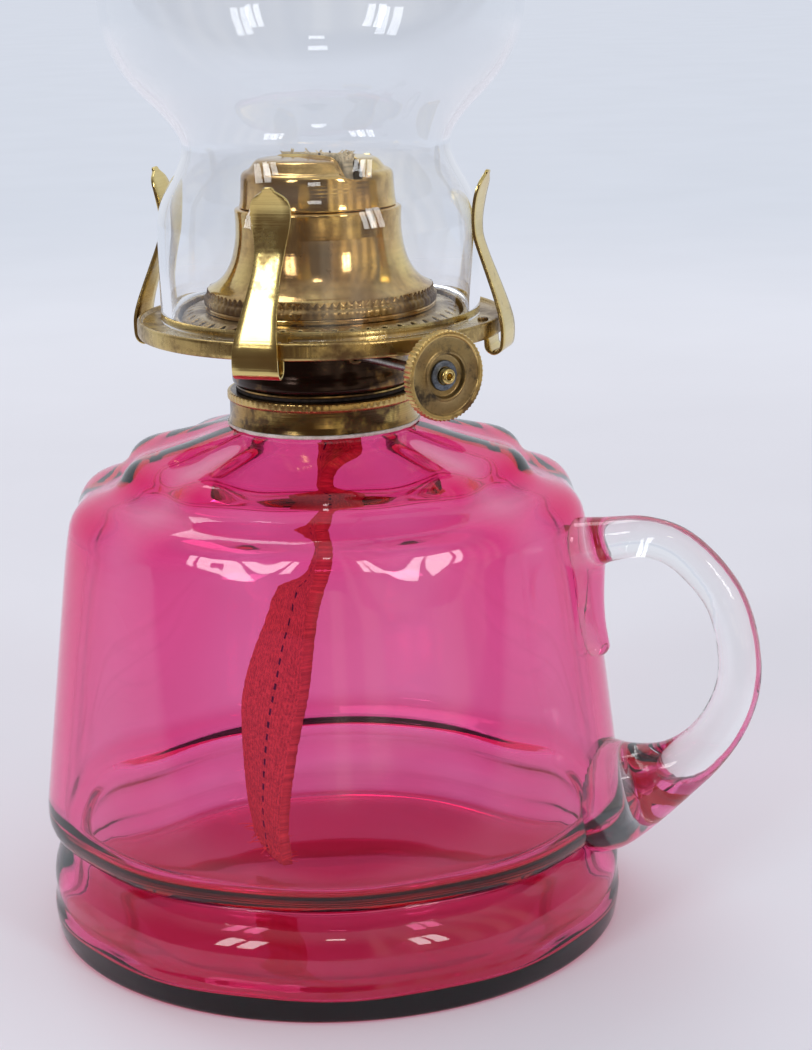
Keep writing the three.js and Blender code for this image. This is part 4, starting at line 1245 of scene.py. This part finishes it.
@dataclass
class Gallery(SubAssembly):
    """The dish that carries the chimney, its pierced air plate and its four springs."""

    azimuths: tuple[float, ...] = (-19, 71, 161, 251)
    leans: tuple[float, ...] = (2.6, 0.5, 0.0, -0.6)
    hole_pairs: int = 50
    spring: Profile = (
        (33.6, 137.35, 10.0), (37.6, 137.35, 10.0), (38.7, 136.9, 10.0), (38.83, 135.2, 10.0), (39.1, 133.4, 10.0),
        (40.6, 132.5, 10.0), (42.1, 133.4, 10.0), (42.5, 135.6, 10.0), (42.4, 138.4, 9.8), (41.7, 141.4, 9.0),
        (40.5, 145.0, 7.9), (39.0, 149.0, 7.0), (37.4, 153.2, 6.3), (36.2, 156.8, 6.4), (35.9, 159.6, 7.0),
        (36.0, 162.0, 7.8), (36.3, 164.2, 8.5), (36.7, 166.2, 8.7), (37.2, 167.9, 8.2), (37.6, 169.1, 6.6),
        (37.9, 169.9, 4.2), (38.1, 170.4, 2.7), (38.3, 170.9, 2.2), (38.4, 171.2, 1.2),
    )
    spring_rows: int = 96
    spring_lanes: tuple[float, ...] = (-0.5, -0.3, 0.0, 0.3, 0.5)
    spring_sheet: float = 0.7
    spring_edge: float = 0.16
    lean_rise: Span = (135, 172)
    dish: Profile = (
        (31.7, 138.3), (39.2, 138.3, 0.5), (39.75, 136.4, 0.4), (40.15, 135.85, 0.3), (40.5, 136.5, 0.5),
        (40.5, 139.3, 0.5), (40.15, 139.65, 0.25), (39.6, 139.6, 0.3), (39.35, 138.92, 0.3), (32.7, 138.9, 0.3),
        (32.6, 140.3, 0.35), (31.7, 140.3, 0.3),
    )
    plate: Profile = (
        (33.0, 137.7), (31.15, 137.7, 0.5), (31.0, 139.5, 0.4), (30.4, 139.75), (28.0, 140.6), (27.2, 140.8),
        (18.2, 140.82),
    )
    hole_band: Span = (28.0, 30.4)
    hole_inset: float = 0.3
    plate_sheet: float = 0.5
    rivet: Profile = (
        (0, 135.9), (1.15, 136.1, 0.3), (1.2, 136.55), (0.7, 136.6), (0.7, 138.95), (1.2, 138.95),
        (1.15, 139.5, 0.4), (0, 139.66),
    )
    rivet_circle: float = 36.98

    def is_hole(self, centre: Vector) -> bool:
        """Tells whether a face of the plate becomes a hole: every second one of a band.

        Args:
            centre: The face's middle.

        Returns:
            Whether it does.
        """
        inner, outer = self.hole_band
        step = 180 / self.hole_pairs
        return inner < centre.xy.length < outer and round(math.degrees(azimuth_of(centre)) / step - 0.5) % 2 == 1

    def build_plate(self) -> None:
        """Makes the pierced plate between the dish and the deflector."""
        bm = turned(outline(*self.plate, steps=2), self.hole_pairs * 2, closed=False)
        band = [face for face in bm.faces if self.is_hole(face.calc_center_median())]
        bmesh.ops.inset_individual(bm, faces=band, thickness=self.hole_inset, use_even_offset=True)
        bmesh.ops.delete(bm, geom=band, context="FACES")
        piece = self.keep("pierced_plate", bm, "burner", "air_plate")
        thickened(piece, self.plate_sheet, -1)
        rounded(piece, 2)

    def build_spring(self, number: int, azimuth: float, lean: float) -> None:
        """Makes one spring prong and its rivet.

        Args:
            number: The prong's number.
            azimuth: Where it stands.
            lean: How far its tip is bent sideways.
        """
        bm = bmesh.new()
        lanes = self.spring_lanes
        rows = [along_curve(self.spring, k / self.spring_rows) for k in range(self.spring_rows + 1)]
        first = [bm.verts.new((rows[0][0], rows[0][2] * lane, rows[0][1])) for lane in lanes]
        edges = [bm.edges.new(pair) for pair in zip(first, first[1:])]
        for out, height, width in rows[1:]:
            made = bmesh.ops.extrude_edge_only(bm, edges=edges)["geom"]
            edges = [item for item in made if isinstance(item, BMEdge)]
            fresh = {vert for edge in edges for vert in edge.verts}
            for vert, lane in zip(sorted(fresh, key=lambda item: item.co.y), lanes):
                vert.co = (out, width * lane + lean * smooth(height, *self.lean_rise), height)
        face_along(tidied(bm), 0)
        piece = self.keep(f"spring_{number}", moved(bm, facing(azimuth)), "burner", f"prong_{number}")
        thickened(piece, self.spring_sheet)
        edge = piece.modifiers.new("edge", "BEVEL")
        edge.width = self.spring_edge * MM
        edge.segments = 2
        rivet = turned(outline(*self.rivet), 24, closed=False)
        bmesh.ops.translate(rivet, vec=(self.rivet_circle, 0, 0), verts=rivet.verts)
        self.keep(f"rivet_{number}", moved(rivet, facing(azimuth)), "burner", f"prong_rivet_{number}")

    def build(self) -> None:
        """Makes the dish, the plate, the springs and the rivets."""
        dish = spaced(outline(*self.dish, steps=4), 2.5)
        self.keep("gallery_dish", turned(dish, 200), "burner", "gallery")
        self.build_plate()
        for number, (azimuth, lean) in enumerate(zip(self.azimuths, self.leans), 1):
            self.build_spring(number, azimuth, lean)

    def dress(self) -> None:
        """Bright brass, darker on the plate."""
        self.wear("gallery_dish", "brass", Finishes.gallery_brass)
        self.wear("pierced_plate", "worn_brass", Finishes.dish_brass)
        for number in range(1, len(self.azimuths) + 1):
            self.wear(f"spring_{number}", "brass", Finishes.spring_brass)
            self.wear(f"rivet_{number}", "worn_brass", Finishes.crimp_brass)


@dataclass
class Deflector(SubAssembly):
    """The bell, its slotted cap and the crimped ring round its foot."""

    azimuth: float = 33
    foot: Profile = ((25.7, 140.95), (25.7, 141.8, 0.35), (24.9, 142.2, 0.3), (24.8, 145.4))
    flare: Profile = ((24.6, 145.6), (18.9, 148.3), (18.2, 158.0))
    shoulder: Profile = ((18.15, 160.5), (18.3, 163.1, 0.5), (17.3, 163.3), (16.6, 163.3))
    cap_rows: Profile = ((17.25, 163.45), (17.2, 163.9), (16.9, 164.7), (16.7, 169.4))
    cap_top: Profile = (
        (16.7, 169.4), (16.5, 170.2), (16.0, 170.7), (15.2, 171.0), (14.6, 171.4), (14.0, 172.4), (13.5, 173.1),
        (12.9, 173.5), (11.0, 173.8), (0, 174.3),
    )
    cap_rings: int = 24
    cap_steps: int = 144
    crowding: float = 1.5
    slot_length: float = 31.2
    slot_width: float = 5.6
    lip: float = 0.8
    lip_rows: tuple[Span, ...] = ((0.15, 0.6), (0.1, 1.0))
    lip_root: float = 0.5
    lip_fall: float = 1.6
    fall_from: Span = (12.8, 15.4)
    rise_until: Span = (9, 14)
    sheet: float = 0.5
    ring: Profile = ((25.75, 142.0), (25.9, 143.4, 0.5), (25.2, 143.8, 0.3), (25.1, 144.7), (24.95, 145.4))
    ring_sheet: float = 0.3
    teeth: int = 96
    dent: float = 0.28
    dent_rise: Span = (142.3, 143.4)
    pinch: float = 0.9
    pinch_rise: Span = (144.2, 145.4)
    wobble: float = 0.3

    def build_bell(self) -> None:
        """Makes the flared bell."""
        skin = outline(*self.foot, steps=3) + bow(*self.flare, 20) + outline(*self.shoulder, steps=3)
        self.keep("flared_bell", turned(walled(skin, self.sheet), 160), "deflector", "deflector_bell")

    def height_at(self, radius: float) -> float:
        """Gives the cap's height.

        Args:
            radius: The distance from the axis there.

        Returns:
            The height.
        """
        for outer, inner in zip(self.cap_top, self.cap_top[1:]):
            if radius >= inner[0]:
                share = (outer[0] - min(radius, outer[0])) / (outer[0] - inner[0])
                return outer[1] + (inner[1] - outer[1]) * share
        return self.cap_top[-1][1]

    def lip_spot(self, turn: float, grow: float, rise: float) -> Vector:
        """Gives a point of the slot's lip, which falls away at the slot's ends.

        Args:
            turn: Its direction from the slot's middle.
            grow: How far it is from the slot's edge.
            rise: How high it stands over the cap.

        Returns:
            The point.
        """
        spot = self.slot_point(turn, grow)
        fall = self.lip_fall * smooth(abs(spot.x), *self.fall_from)
        spot.z = self.height_at(spot.xy.length) + rise * (1 - smooth(abs(spot.x), *self.rise_until)) - fall
        return spot

    def slot_point(self, turn: float, grow: float) -> Vector:
        """Gives a point of the slot's edge.

        Args:
            turn: Its direction from the slot's middle.
            grow: How far outside the edge it is.

        Returns:
            The point, at height 0.
        """
        half = self.slot_length / 2 - self.slot_width / 2
        reach = self.slot_width / 2 + grow
        x, y = math.cos(turn), math.sin(turn)
        lean = abs(x) / max(abs(y), 1e-6)
        if lean * reach <= half:
            return Vector((math.copysign(lean * reach, x), math.copysign(reach, y), 0))
        root = math.sqrt(max(reach**2 - (half * y) ** 2, 0))
        along = half * abs(x) + root
        return Vector((along * x, along * y, 0))

    def build_cap(self) -> None:
        """Makes the stepped cap round its slot, with a raised lip."""
        turns = full_turn(self.cap_steps)
        bm = bmesh.new()
        circles = [circle(radius, height, turns) for radius, height in self.cap_rows]
        ring = [bm.verts.new(spot) for spot in circles[0]]
        for pair in ring_pairs(ring):
            bm.edges.new(pair)
        for points in circles[1:]:
            ring = extruded_ring(bm, ring, points)
        for k in range(1, self.cap_rings + 1):
            share = (k / self.cap_rings) ** self.crowding
            spots = []
            for start, turn in zip(circles[-1], turns):
                lip = self.lip_spot(turn, self.lip_root, 0)
                spot = start.lerp(lip, share)
                spot.z = self.height_at(spot.xy.length) + (lip.z - self.height_at(lip.xy.length)) * share
                spots.append(spot)
            ring = extruded_ring(bm, ring, spots)
        for grow, rise in self.lip_rows:
            ring = extruded_ring(bm, ring, [self.lip_spot(turn, grow, self.lip * rise) for turn in turns])
        face_along(tidied(bm), 2)
        piece = self.keep("slotted_cap", moved(bm, facing(self.azimuth)), "deflector", "deflector_cap")
        thickened(piece, self.sheet, -1)
        rounded(piece, 1)

    def build_ring(self) -> None:
        """Makes the ring that is crimped over the bell's foot, dented below and pinched at its upper edge."""
        bm = turned(walled(outline(*self.ring, steps=3), self.ring_sheet), self.teeth * 4)
        for vert in bm.verts:
            pinch = 0.5 + 0.5 * math.cos(self.teeth * azimuth_of(vert.co))
            wobble = self.wobble * noise.noise(vert.co * 0.35)
            if vert.co.z > self.pinch_rise[0]:
                vert.co.z -= (self.pinch * pinch + wobble) * smooth(vert.co.z, *self.pinch_rise)
            elif vert.co.z > self.dent_rise[0]:
                flat = Vector((vert.co.x, vert.co.y, 0)).normalized()
                vert.co -= flat * self.dent * pinch * smooth(vert.co.z, *self.dent_rise)
        self.keep("crimped_ring", bm, "deflector", "deflector_ring")

    def build(self) -> None:
        """Makes the bell, the cap and the ring."""
        self.build_bell()
        self.build_cap()
        self.build_ring()

    def dress(self) -> None:
        """Heated brass with a rose tint."""
        self.wear("flared_bell", "rose_brass", Finishes.rose_brass)
        self.wear("slotted_cap", "rose_brass", Finishes.rose_brass)
        self.wear("crimped_ring", "worn_brass", Finishes.crimp_brass)


@dataclass
class Winder(SubAssembly):
    """The spindle, its milled knob and the pieces on its end."""

    azimuth: float = 33
    offset: float = 5.2
    height: float = 133.6
    face: float = 54.0
    teeth: int = 58
    tooth: float = 0.3
    milled_from: float = 9.0
    field_radius: float = 8.05
    end_inset: float = 1.3
    knob: Profile = (
        (1.4, -3.1), (3.2, -3.1, 0.3), (3.2, -2.2, 0.3), (5.4, -1.9, 0.4), (7.4, -1.6, 0.4), (8.1, -2.6, 0.3),
        (9.1, -2.6, 0.25), (9.32, -2.3, 0.15), (9.32, -0.3, 0.15), (9.0, 0.0, 0.2), (8.25, 0.0, 0.25),
        (7.95, -0.55, 0.2), (5.3, -0.5, 0.3), (4.95, -0.05, 0.15), (4.6, -0.15, 0.15), (4.35, -1.35, 0.3), (1.4, -1.4),
    )
    rod: Profile = ((0, -12), (1.1, -12, 0.2), (1.1, 52.5, 0.2), (0, 52.5))
    boss: Profile = ((1.95, 0), (3.2, 0, 0.15), (3.05, 0.45, 0.2), (1.95, 0.5))
    stem: Profile = (
        (0, 0.2), (0.7, 0.3, 0.1), (0.75, 2.1, 0.15), (1.2, 2.2, 0.2), (1.62, 1.9, 0.25), (1.6, 1.2, 0.2),
        (1.72, 0.9, 0.2), (1.7, 0.0), (0, 0.0),
    )
    bush: Profile = ((1.4, 16.3), (2.2, 16.3, 0.2), (2.2, 21.2, 0.3), (1.4, 21.2))

    def add(self, name: str, bm: BMesh, out: float, body: str, node: str) -> None:
        """Lays a mesh built along +Z on the spindle's line and keeps it.

        Args:
            name: The piece's name.
            bm: Its mesh.
            out: How far along the line it starts.
            body: The body that it rides on.
            node: The CAD node that it stands for.
        """
        place = Matrix.Translation((out, -self.offset, self.height))
        line = facing(self.azimuth) @ place @ Matrix.Rotation(math.radians(90), 4, "Y")
        self.keep(name, moved(bm, line), body, node)

    def build(self) -> None:
        """Makes the knob with its milled edge, the spindle, the pieces on its end and the bush."""
        knob = turned(outline(*self.knob, steps=3), self.teeth * 6)
        milled(knob, self.teeth, self.tooth, self.milled_from)
        for face in knob.faces:
            face.material_index = int(face.calc_center_median().xy.length < self.field_radius)
        end = self.face - self.end_inset
        rod = turned(outline(*self.rod), 32, closed=False)
        stem = turned(outline(*self.stem, steps=3), 40, closed=False)
        self.add("milled_knob", knob, self.face, "winder", "winder_knob")
        self.add("wick_spindle", rod, 0, "winder", "winder_spindle")
        self.add("dark_boss", turned(outline(*self.boss), 48), end, "winder", "knob_washer")
        self.add("hollow_stem", stem, end, "winder", "stem_end")
        self.add("spindle_sleeve", turned(outline(*self.bush), 32), 0, "burner", "spindle_bush")

    def dress(self) -> None:
        """Brass knob on a steel spindle."""
        self.wear("milled_knob", "brass", Finishes.knob_brass, Finishes.field_brass)
        self.wear("wick_spindle", "steel", Finishes.steel)
        self.wear("dark_boss", "dark_metal", Finishes.dark_metal)
        self.wear("hollow_stem", "brass", Finishes.spring_brass)
        self.wear("spindle_sleeve", "worn_brass", Finishes.dark_brass)
        self.repaint("wick_tube", Finishes.dark_brass)
        self.repaint("spindle_housing", Finishes.dark_brass)
        self.repaint("spur_wheel_1", Finishes.steel)
        self.repaint("spur_wheel_2", Finishes.steel)


@dataclass
class Wick(SubAssembly):
    """The flat woven wick, which hangs from its tube and turns on its way down."""

    width: float = 25.0
    thickness: float = 2.3
    top: float = 175.4
    stations: Profile = (
        (175.4, 0, 33), (140.0, 0, 33), (109.0, 0, 33), (107.8, 0, 32.6), (106.6, 0, 26), (105.1, 0, 14),
        (103.4, 0, 5), (101.4, 0, 1), (97.0, 0.3, 0), (90.0, 0.8, 0), (82.0, 2.2, 2), (73.0, 6.0, 11),
        (64.0, 9.3, 22), (55.0, 11.8, 30), (46.6, 13.8, 31), (33.8, 15.0, 25), (22.9, 15.2, 20), (14.2, 14.2, 18),
    )
    cup: float = 0.9
    cup_height: float = 105
    cup_fall: float = 40
    rib: float = 0.16
    worn: float = 0.05
    ragged: float = 1.6
    ragged_length: float = 2
    lanes: int = 28
    rows: int = 190
    strands: int = 150
    strand_radius: float = 0.17
    strand_steps: int = 5
    strand_bend: float = 0.45
    root_spread: float = 0.8
    crowded: float = 0.6
    crowded_side: Span = (0.36, 0.54)
    top_thicker: float = 1.9
    top_root: float = 1.6
    end_root: float = 1.8
    top_rise: float = 1.4
    end_rise: float = -0.05
    top_reach: Span = (1.0, 2.6)
    end_reach: Span = (2.0, 6.0)
    seed: int = 7

    def station(self, height: float) -> Span:
        """Gives where the band hangs.

        Args:
            height: The height there.

        Returns:
            The sideways shift and the turn in degrees.
        """
        rows = self.stations
        for i, (low, high) in enumerate(zip(rows[1:], rows)):
            if height >= low[0] or i == len(rows) - 2:
                share = (high[0] - height) / (high[0] - low[0])
                knots = [rows[max(i - 1, 0)], rows[i], rows[i + 1], rows[min(i + 2, len(rows) - 1)]]
                smoothed = along_curve(knots, (1 + share) / 3)
                return smoothed[1], smoothed[2]
        return rows[-1][1], rows[-1][2]

    def bent(self, across: float, out: float, height: float) -> Vector:
        """Puts a point of the flat band where it hangs.

        Args:
            across: Its place across the band.
            out: How far it stands off the band.
            height: Its height.

        Returns:
            The point.
        """
        shift, turn = self.station(height)
        angle = math.radians(turn)
        along = Vector((math.sin(angle), -math.cos(angle), 0))
        side = Vector((along.y, -along.x, 0))
        fall = smooth(self.cup_height - height, 0, self.cup_fall)
        cup = self.cup * fall * (1 - (2 * across / self.width) ** 2)
        return Vector((-shift, 0, height)) + along * across + side * (out + cup)

    def build_band(self) -> None:
        """Makes the band with its map, then hangs it."""
        length = self.top - self.stations[-1][0]
        bm = bmesh.new()
        weave = bm.loops.layers.uv.new(WickFinish.map_name)
        bmesh.ops.create_grid(bm, x_segments=self.lanes, y_segments=self.rows, size=0.5)
        bmesh.ops.scale(bm, vec=(self.width, length, 1), verts=bm.verts)
        for face in bm.faces:
            for loop in face.loops:
                loop[weave].uv = (loop.vert.co.x + self.width / 2, length / 2 - loop.vert.co.y)
        for vert in bm.verts:
            across, along = vert.co.x, length / 2 - vert.co.y
            reach = self.ragged_length
            ends = smooth(reach - along, 0, reach) + smooth(along - length + reach, 0, reach)
            ragged = abs(noise.noise(Vector((across * 0.8, along, 3))) * self.ragged * ends)
            rib = self.rib * noise.noise(Vector((across * 0.9, along * 0.9, 0)))
            worn = abs(noise.noise(Vector((math.copysign(5, across), along * 0.7, 9))))
            across *= 1 - self.worn * worn * smooth(abs(across) / self.width, 0.4, 0.5)
            height = self.top - along - (ragged if along < length / 2 else -ragged)
            vert.co = self.bent(across, rib, min(height, self.top))
        thickened(self.keep("woven_wick", bm, "wick", "wick"), self.thickness)

    def strand(self, bm: BMesh, chance: random.Random, top: bool) -> None:
        """Draws one loose thread at an end of the band.

        Args:
            bm: The mesh that takes it.
            chance: The seeded numbers.
            top: Whether it is at the top.
        """
        across = chance.uniform(-0.5, 0.5) * self.width
        if top and chance.random() < self.crowded:
            across = chance.uniform(*self.crowded_side) * self.width
        height = self.top - self.top_root if top else self.stations[-1][0] + self.end_root
        base = self.bent(across, chance.uniform(-self.root_spread, self.root_spread), height)
        rise = self.top_rise if top else self.end_rise
        aim = Vector((chance.uniform(-1, 1), chance.uniform(-1, 1), rise)).normalized()
        bend = Vector((chance.uniform(-1, 1), chance.uniform(-1, 1), chance.uniform(0, 0.5)))
        long = chance.uniform(*(self.top_reach if top else self.end_reach))
        thick = self.strand_radius * (self.top_thicker if top else 1)
        rings = []
        for k in range(self.strand_steps + 1):
            share = k / self.strand_steps
            centre = base + aim * (long * share) + bend * (long * self.strand_bend * share * share)
            radius = thick * (1 - 0.5 * share)
            rings.append(oval(centre, Vector((radius, 0, 0)), Vector((0, radius * 0.9, radius * 0.5)), 5))
        swept(bm, rings)

    def build_fringe(self) -> None:
        """Makes the loose threads at both ends."""
        chance = random.Random(self.seed)
        bm = bmesh.new()
        weave = bm.loops.layers.uv.new(WickFinish.map_name)
        for k in range(self.strands):
            self.strand(bm, chance, k % 5 < 3)
        bmesh.ops.recalc_face_normals(bm, faces=bm.faces)
        for face in bm.faces:
            for loop in face.loops:
                along = self.top + Finishes.cotton.burnt_length - loop.vert.co.z
                loop[weave].uv = (loop.vert.co.x + self.width / 2, along)
        self.keep("wick_threads", bm, "wick")

    def build(self) -> None:
        """Makes the wick and its threads."""
        self.build_band()
        self.build_fringe()

    def dress(self) -> None:
        """Woven cotton."""
        self.wear("woven_wick", "cotton", Finishes.cotton)
        self.wear("wick_threads", "cotton", Finishes.cotton)


@dataclass
class Chimney(SubAssembly):
    """The clear chimney: a straight foot, a pinched waist, a bulb and a long neck."""

    seat: float = 138.95
    top: float = 354.95
    wall: float = 1.6
    foot_wall: float = 2.2
    foot_length: float = 12
    fineness: float = 4.0
    edge_steps: int = 4
    foot_outside: Profile = ((34.7, 0), (35.2, 0), (35.2, 0.7))
    foot_inside: Profile = ((33.0, 0.7), (33.1, 0), (33.8, 0))
    rim_outside: Profile = ((25.0, -0.6), (24.7, 0), (24.2, 0))
    rim_inside: Profile = ((24.2, 0), (23.6, 0), (23.45, -0.7))
    bore_from: float = 0.8
    bore_until: float = 1
    base: Span = (35.2, 159.0)
    bends: tuple[tuple[Corner, Corner, int], ...] = (
        ((35.2, 164.0), (32.1, 169.0), 12), ((29.0, 174.0), (29.2, 177.2), 12), ((29.7, 180.6), (36.1, 186.7), 12),
        ((45.7, 195.8), (45.7, 208.5), 20), ((45.7, 234.0), (35.5, 262.0), 20), ((26.2, 288.0), (25.8, 304.0), 16),
        ((25.4, 330.0), (25.0, 354.35), 8),
    )

    def edge(self, level: float, corners: Profile) -> list[Vector]:
        """Draws a curve at the foot or the rim, with heights counted from a level."""
        return bow(*((radius, level + rise) for radius, rise in corners), self.edge_steps)

    def skin(self) -> list[Vector]:
        """Gives the outer profile, from the rounded foot up to the rim."""
        points = self.edge(self.seat, self.foot_outside)
        spot = self.base
        points += [Vector((spot[0], 0, spot[1]))]
        for pull, end, steps in self.bends:
            points += bow(spot, pull, end, steps)[1:]
            spot = end
        return points

    def build(self) -> None:
        """Makes the chimney's shell."""
        skin = spaced(self.skin(), self.fineness)
        inner = []
        for i, point in enumerate(skin):
            thinner = smooth(point.z, self.seat, self.seat + self.foot_length)
            wall = self.foot_wall + (self.wall - self.foot_wall) * thinner
            inner.append(point + leftward(skin, i) * wall)
        low, high = self.seat + self.bore_from, self.top - self.bore_until
        bore = [point for point in reversed(inner) if low < point.z < high]
        rim = self.edge(self.top, self.rim_outside)[1:] + self.edge(self.top, self.rim_inside)[1:]
        points = skin + rim + bore + self.edge(self.seat, self.foot_inside)
        self.keep("blown_chimney", turned(points, 160), "chimney", "chimney", sharp=SHARP_GLASS)

    def dress(self) -> None:
        """Thin clear glass."""
        self.wear("blown_chimney", "clear_glass", Finishes.chimney_glass)


@dataclass
class Studio:
    """The floor, the lamps, the world and the camera."""

    focal_pixels: float = 2273.0
    camera_back: float = 0.4987
    camera_height: float = 0.2196
    pitch: float = 14.51
    yaw: float = 2.04
    roll: float = -1.24
    clip: Span = (0.01, 60)
    bounces: int = 24
    glass_bounces: int = 20
    floor_radius: float = 12.0
    lamps: tuple[tuple[str, float, float, float, float, float], ...] = (
        ("left_window", -44, 27, 0.13, 0.60, 9.0),
        ("left_window_side", -37, 27, 0.13, 0.60, 9.0),
        ("middle_window", -3, 50, 0.22, 0.10, 9.0),
        ("right_window", 34, 25, 0.10, 0.60, 9.0),
        ("right_window_side", 39, 25, 0.10, 0.60, 9.0),
        ("skylight", -150, 62, 0.60, 0.60, 4.0),
    )
    lamp_distance: float = 1.6
    lamp_aim: float = 0.1
    behind: Span = (-0.25, 0.65)
    above: Span = (0.55, 0.95)
    warm_left: Span = (0.22, 0.34)
    warm_right: Span = (1.35, 1.55)
    pane_count: float = 24
    dim_room: Colour = (0.09, 0.065, 0.06)
    room_in_glass: Colour = (0.34, 0.24, 0.26)
    warm_panes: Colour = (0.95, 0.80, 0.62)
    pale_sky: Colour = (0.74, 0.77, 0.84)
    fill: Colour = (0.60, 0.60, 0.61)
    backdrop: Colour = (0.67, 0.71, 0.80)

    def build_floor(self) -> None:
        """Makes the wide floor disc."""
        bm = bmesh.new()
        bmesh.ops.create_circle(bm, cap_ends=True, segments=96, radius=self.floor_radius)
        floor = linked("floor", meshed("floor", bm))
        floor.data.materials.append(Finishes.floor.material())

    def build_world(self) -> None:
        """Makes the pale surroundings: even for the eye and the floor, uneven for gloss and glass."""
        world = bpy.data.worlds.new("surroundings")
        world.use_nodes = True
        bpy.context.scene.world = world
        recipe = Recipe(world.node_tree)
        direction = recipe.add("ShaderNodeTexCoord", out="Generated")
        x = recipe.add("ShaderNodeSeparateXYZ", None, {0: direction}, "X")
        y, z = x.beside("Y"), x.beside("Z")
        pale = y.step(*self.behind).most(z.step(*self.above) * 0.8)
        azimuth = x.apply("ARCTAN2", x, y * -1)
        panes = (azimuth * self.pane_count).sine().step(-0.6, 0.6) * 0.45 + 0.35
        warm = azimuth.step(*self.warm_left) * (1 - azimuth.step(*self.warm_right)) * panes
        path = recipe.add("ShaderNodeLightPath", out="Is Glossy Ray")
        through = path.beside("Is Transmission Ray")
        shade = recipe.blend(through, self.dim_room, self.room_in_glass)
        room = recipe.blend(pale, recipe.blend(warm, shade, self.warm_panes), self.pale_sky)
        even = recipe.blend(path.beside("Is Camera Ray"), self.fill, self.backdrop)
        colour = recipe.blend(path.most(through), even, room)
        light = recipe.add("ShaderNodeBackground", None, {"Color": colour, "Strength": 1.0})
        recipe.add("ShaderNodeOutputWorld", None, {"Surface": light})

    def build_lamps(self) -> None:
        """Hangs the soft windows round the lamp: azimuth, elevation, width, height and level of each."""
        middle = Vector((0, 0, self.lamp_aim))
        for name, azimuth, elevation, width, height, level in self.lamps:
            data = bpy.data.lights.new(name, "AREA")
            data.shape = "RECTANGLE"
            data.size, data.size_y = width, height
            data.energy = level * math.pi * width * height
            turn, rise = math.radians(azimuth), math.radians(elevation)
            out = Vector((math.sin(turn) * math.cos(rise), -math.cos(turn) * math.cos(rise), math.sin(rise)))
            lamp = linked(name, data)
            lamp.matrix_world = Matrix.LocRotScale(
                middle + out * self.lamp_distance, (-out).to_track_quat("-Z", "Y"), Vector((1, 1, 1))
            )
            lamp.visible_camera = False

    def build_camera(self) -> None:
        """Places the camera where the photograph was taken from."""
        pitch, yaw, roll = (math.radians(angle) for angle in (self.pitch, self.yaw, self.roll))
        ahead = Vector((math.sin(yaw) * math.cos(pitch), math.cos(yaw) * math.cos(pitch), -math.sin(pitch)))
        level = Vector((math.cos(yaw), -math.sin(yaw), 0))
        up = level.cross(ahead)
        right = level * math.cos(roll) + up * math.sin(roll)
        top = up * math.cos(roll) - level * math.sin(roll)
        data = bpy.data.cameras.new("view")
        data.sensor_width = 36.0
        data.lens = self.focal_pixels / IMAGE_HEIGHT * data.sensor_width
        data.clip_start, data.clip_end = self.clip
        camera = linked("view", data)
        turn = Matrix((right, top, -ahead)).transposed().to_4x4()
        camera.matrix_world = Matrix.Translation((0, -self.camera_back, self.camera_height)) @ turn
        bpy.context.scene.camera = camera

    def build(self) -> None:
        """Sets up everything round the lamp."""
        scene = bpy.context.scene
        scene.view_settings.view_transform = "Standard"
        scene.cycles.max_bounces = scene.cycles.transparent_max_bounces = self.bounces
        scene.cycles.transmission_bounces = self.glass_bounces
        self.build_camera()
        self.build_floor()
        self.build_world()
        self.build_lamps()


def main() -> None:
    """Builds the studio and the lamp."""
    logging.basicConfig(level=logging.INFO, format="%(name)s: %(message)s")
    Studio().build()
    font, collar = OilFont(), Collar()
    neck = (collar, ScrewBase(collar=collar))
    for part in (font, Handle(font=font), *neck, Gallery(), Deflector(), Winder(), Wick(), Chimney()):
        part.build()
        part.dress()


if __name__ == "__main__":
    main()
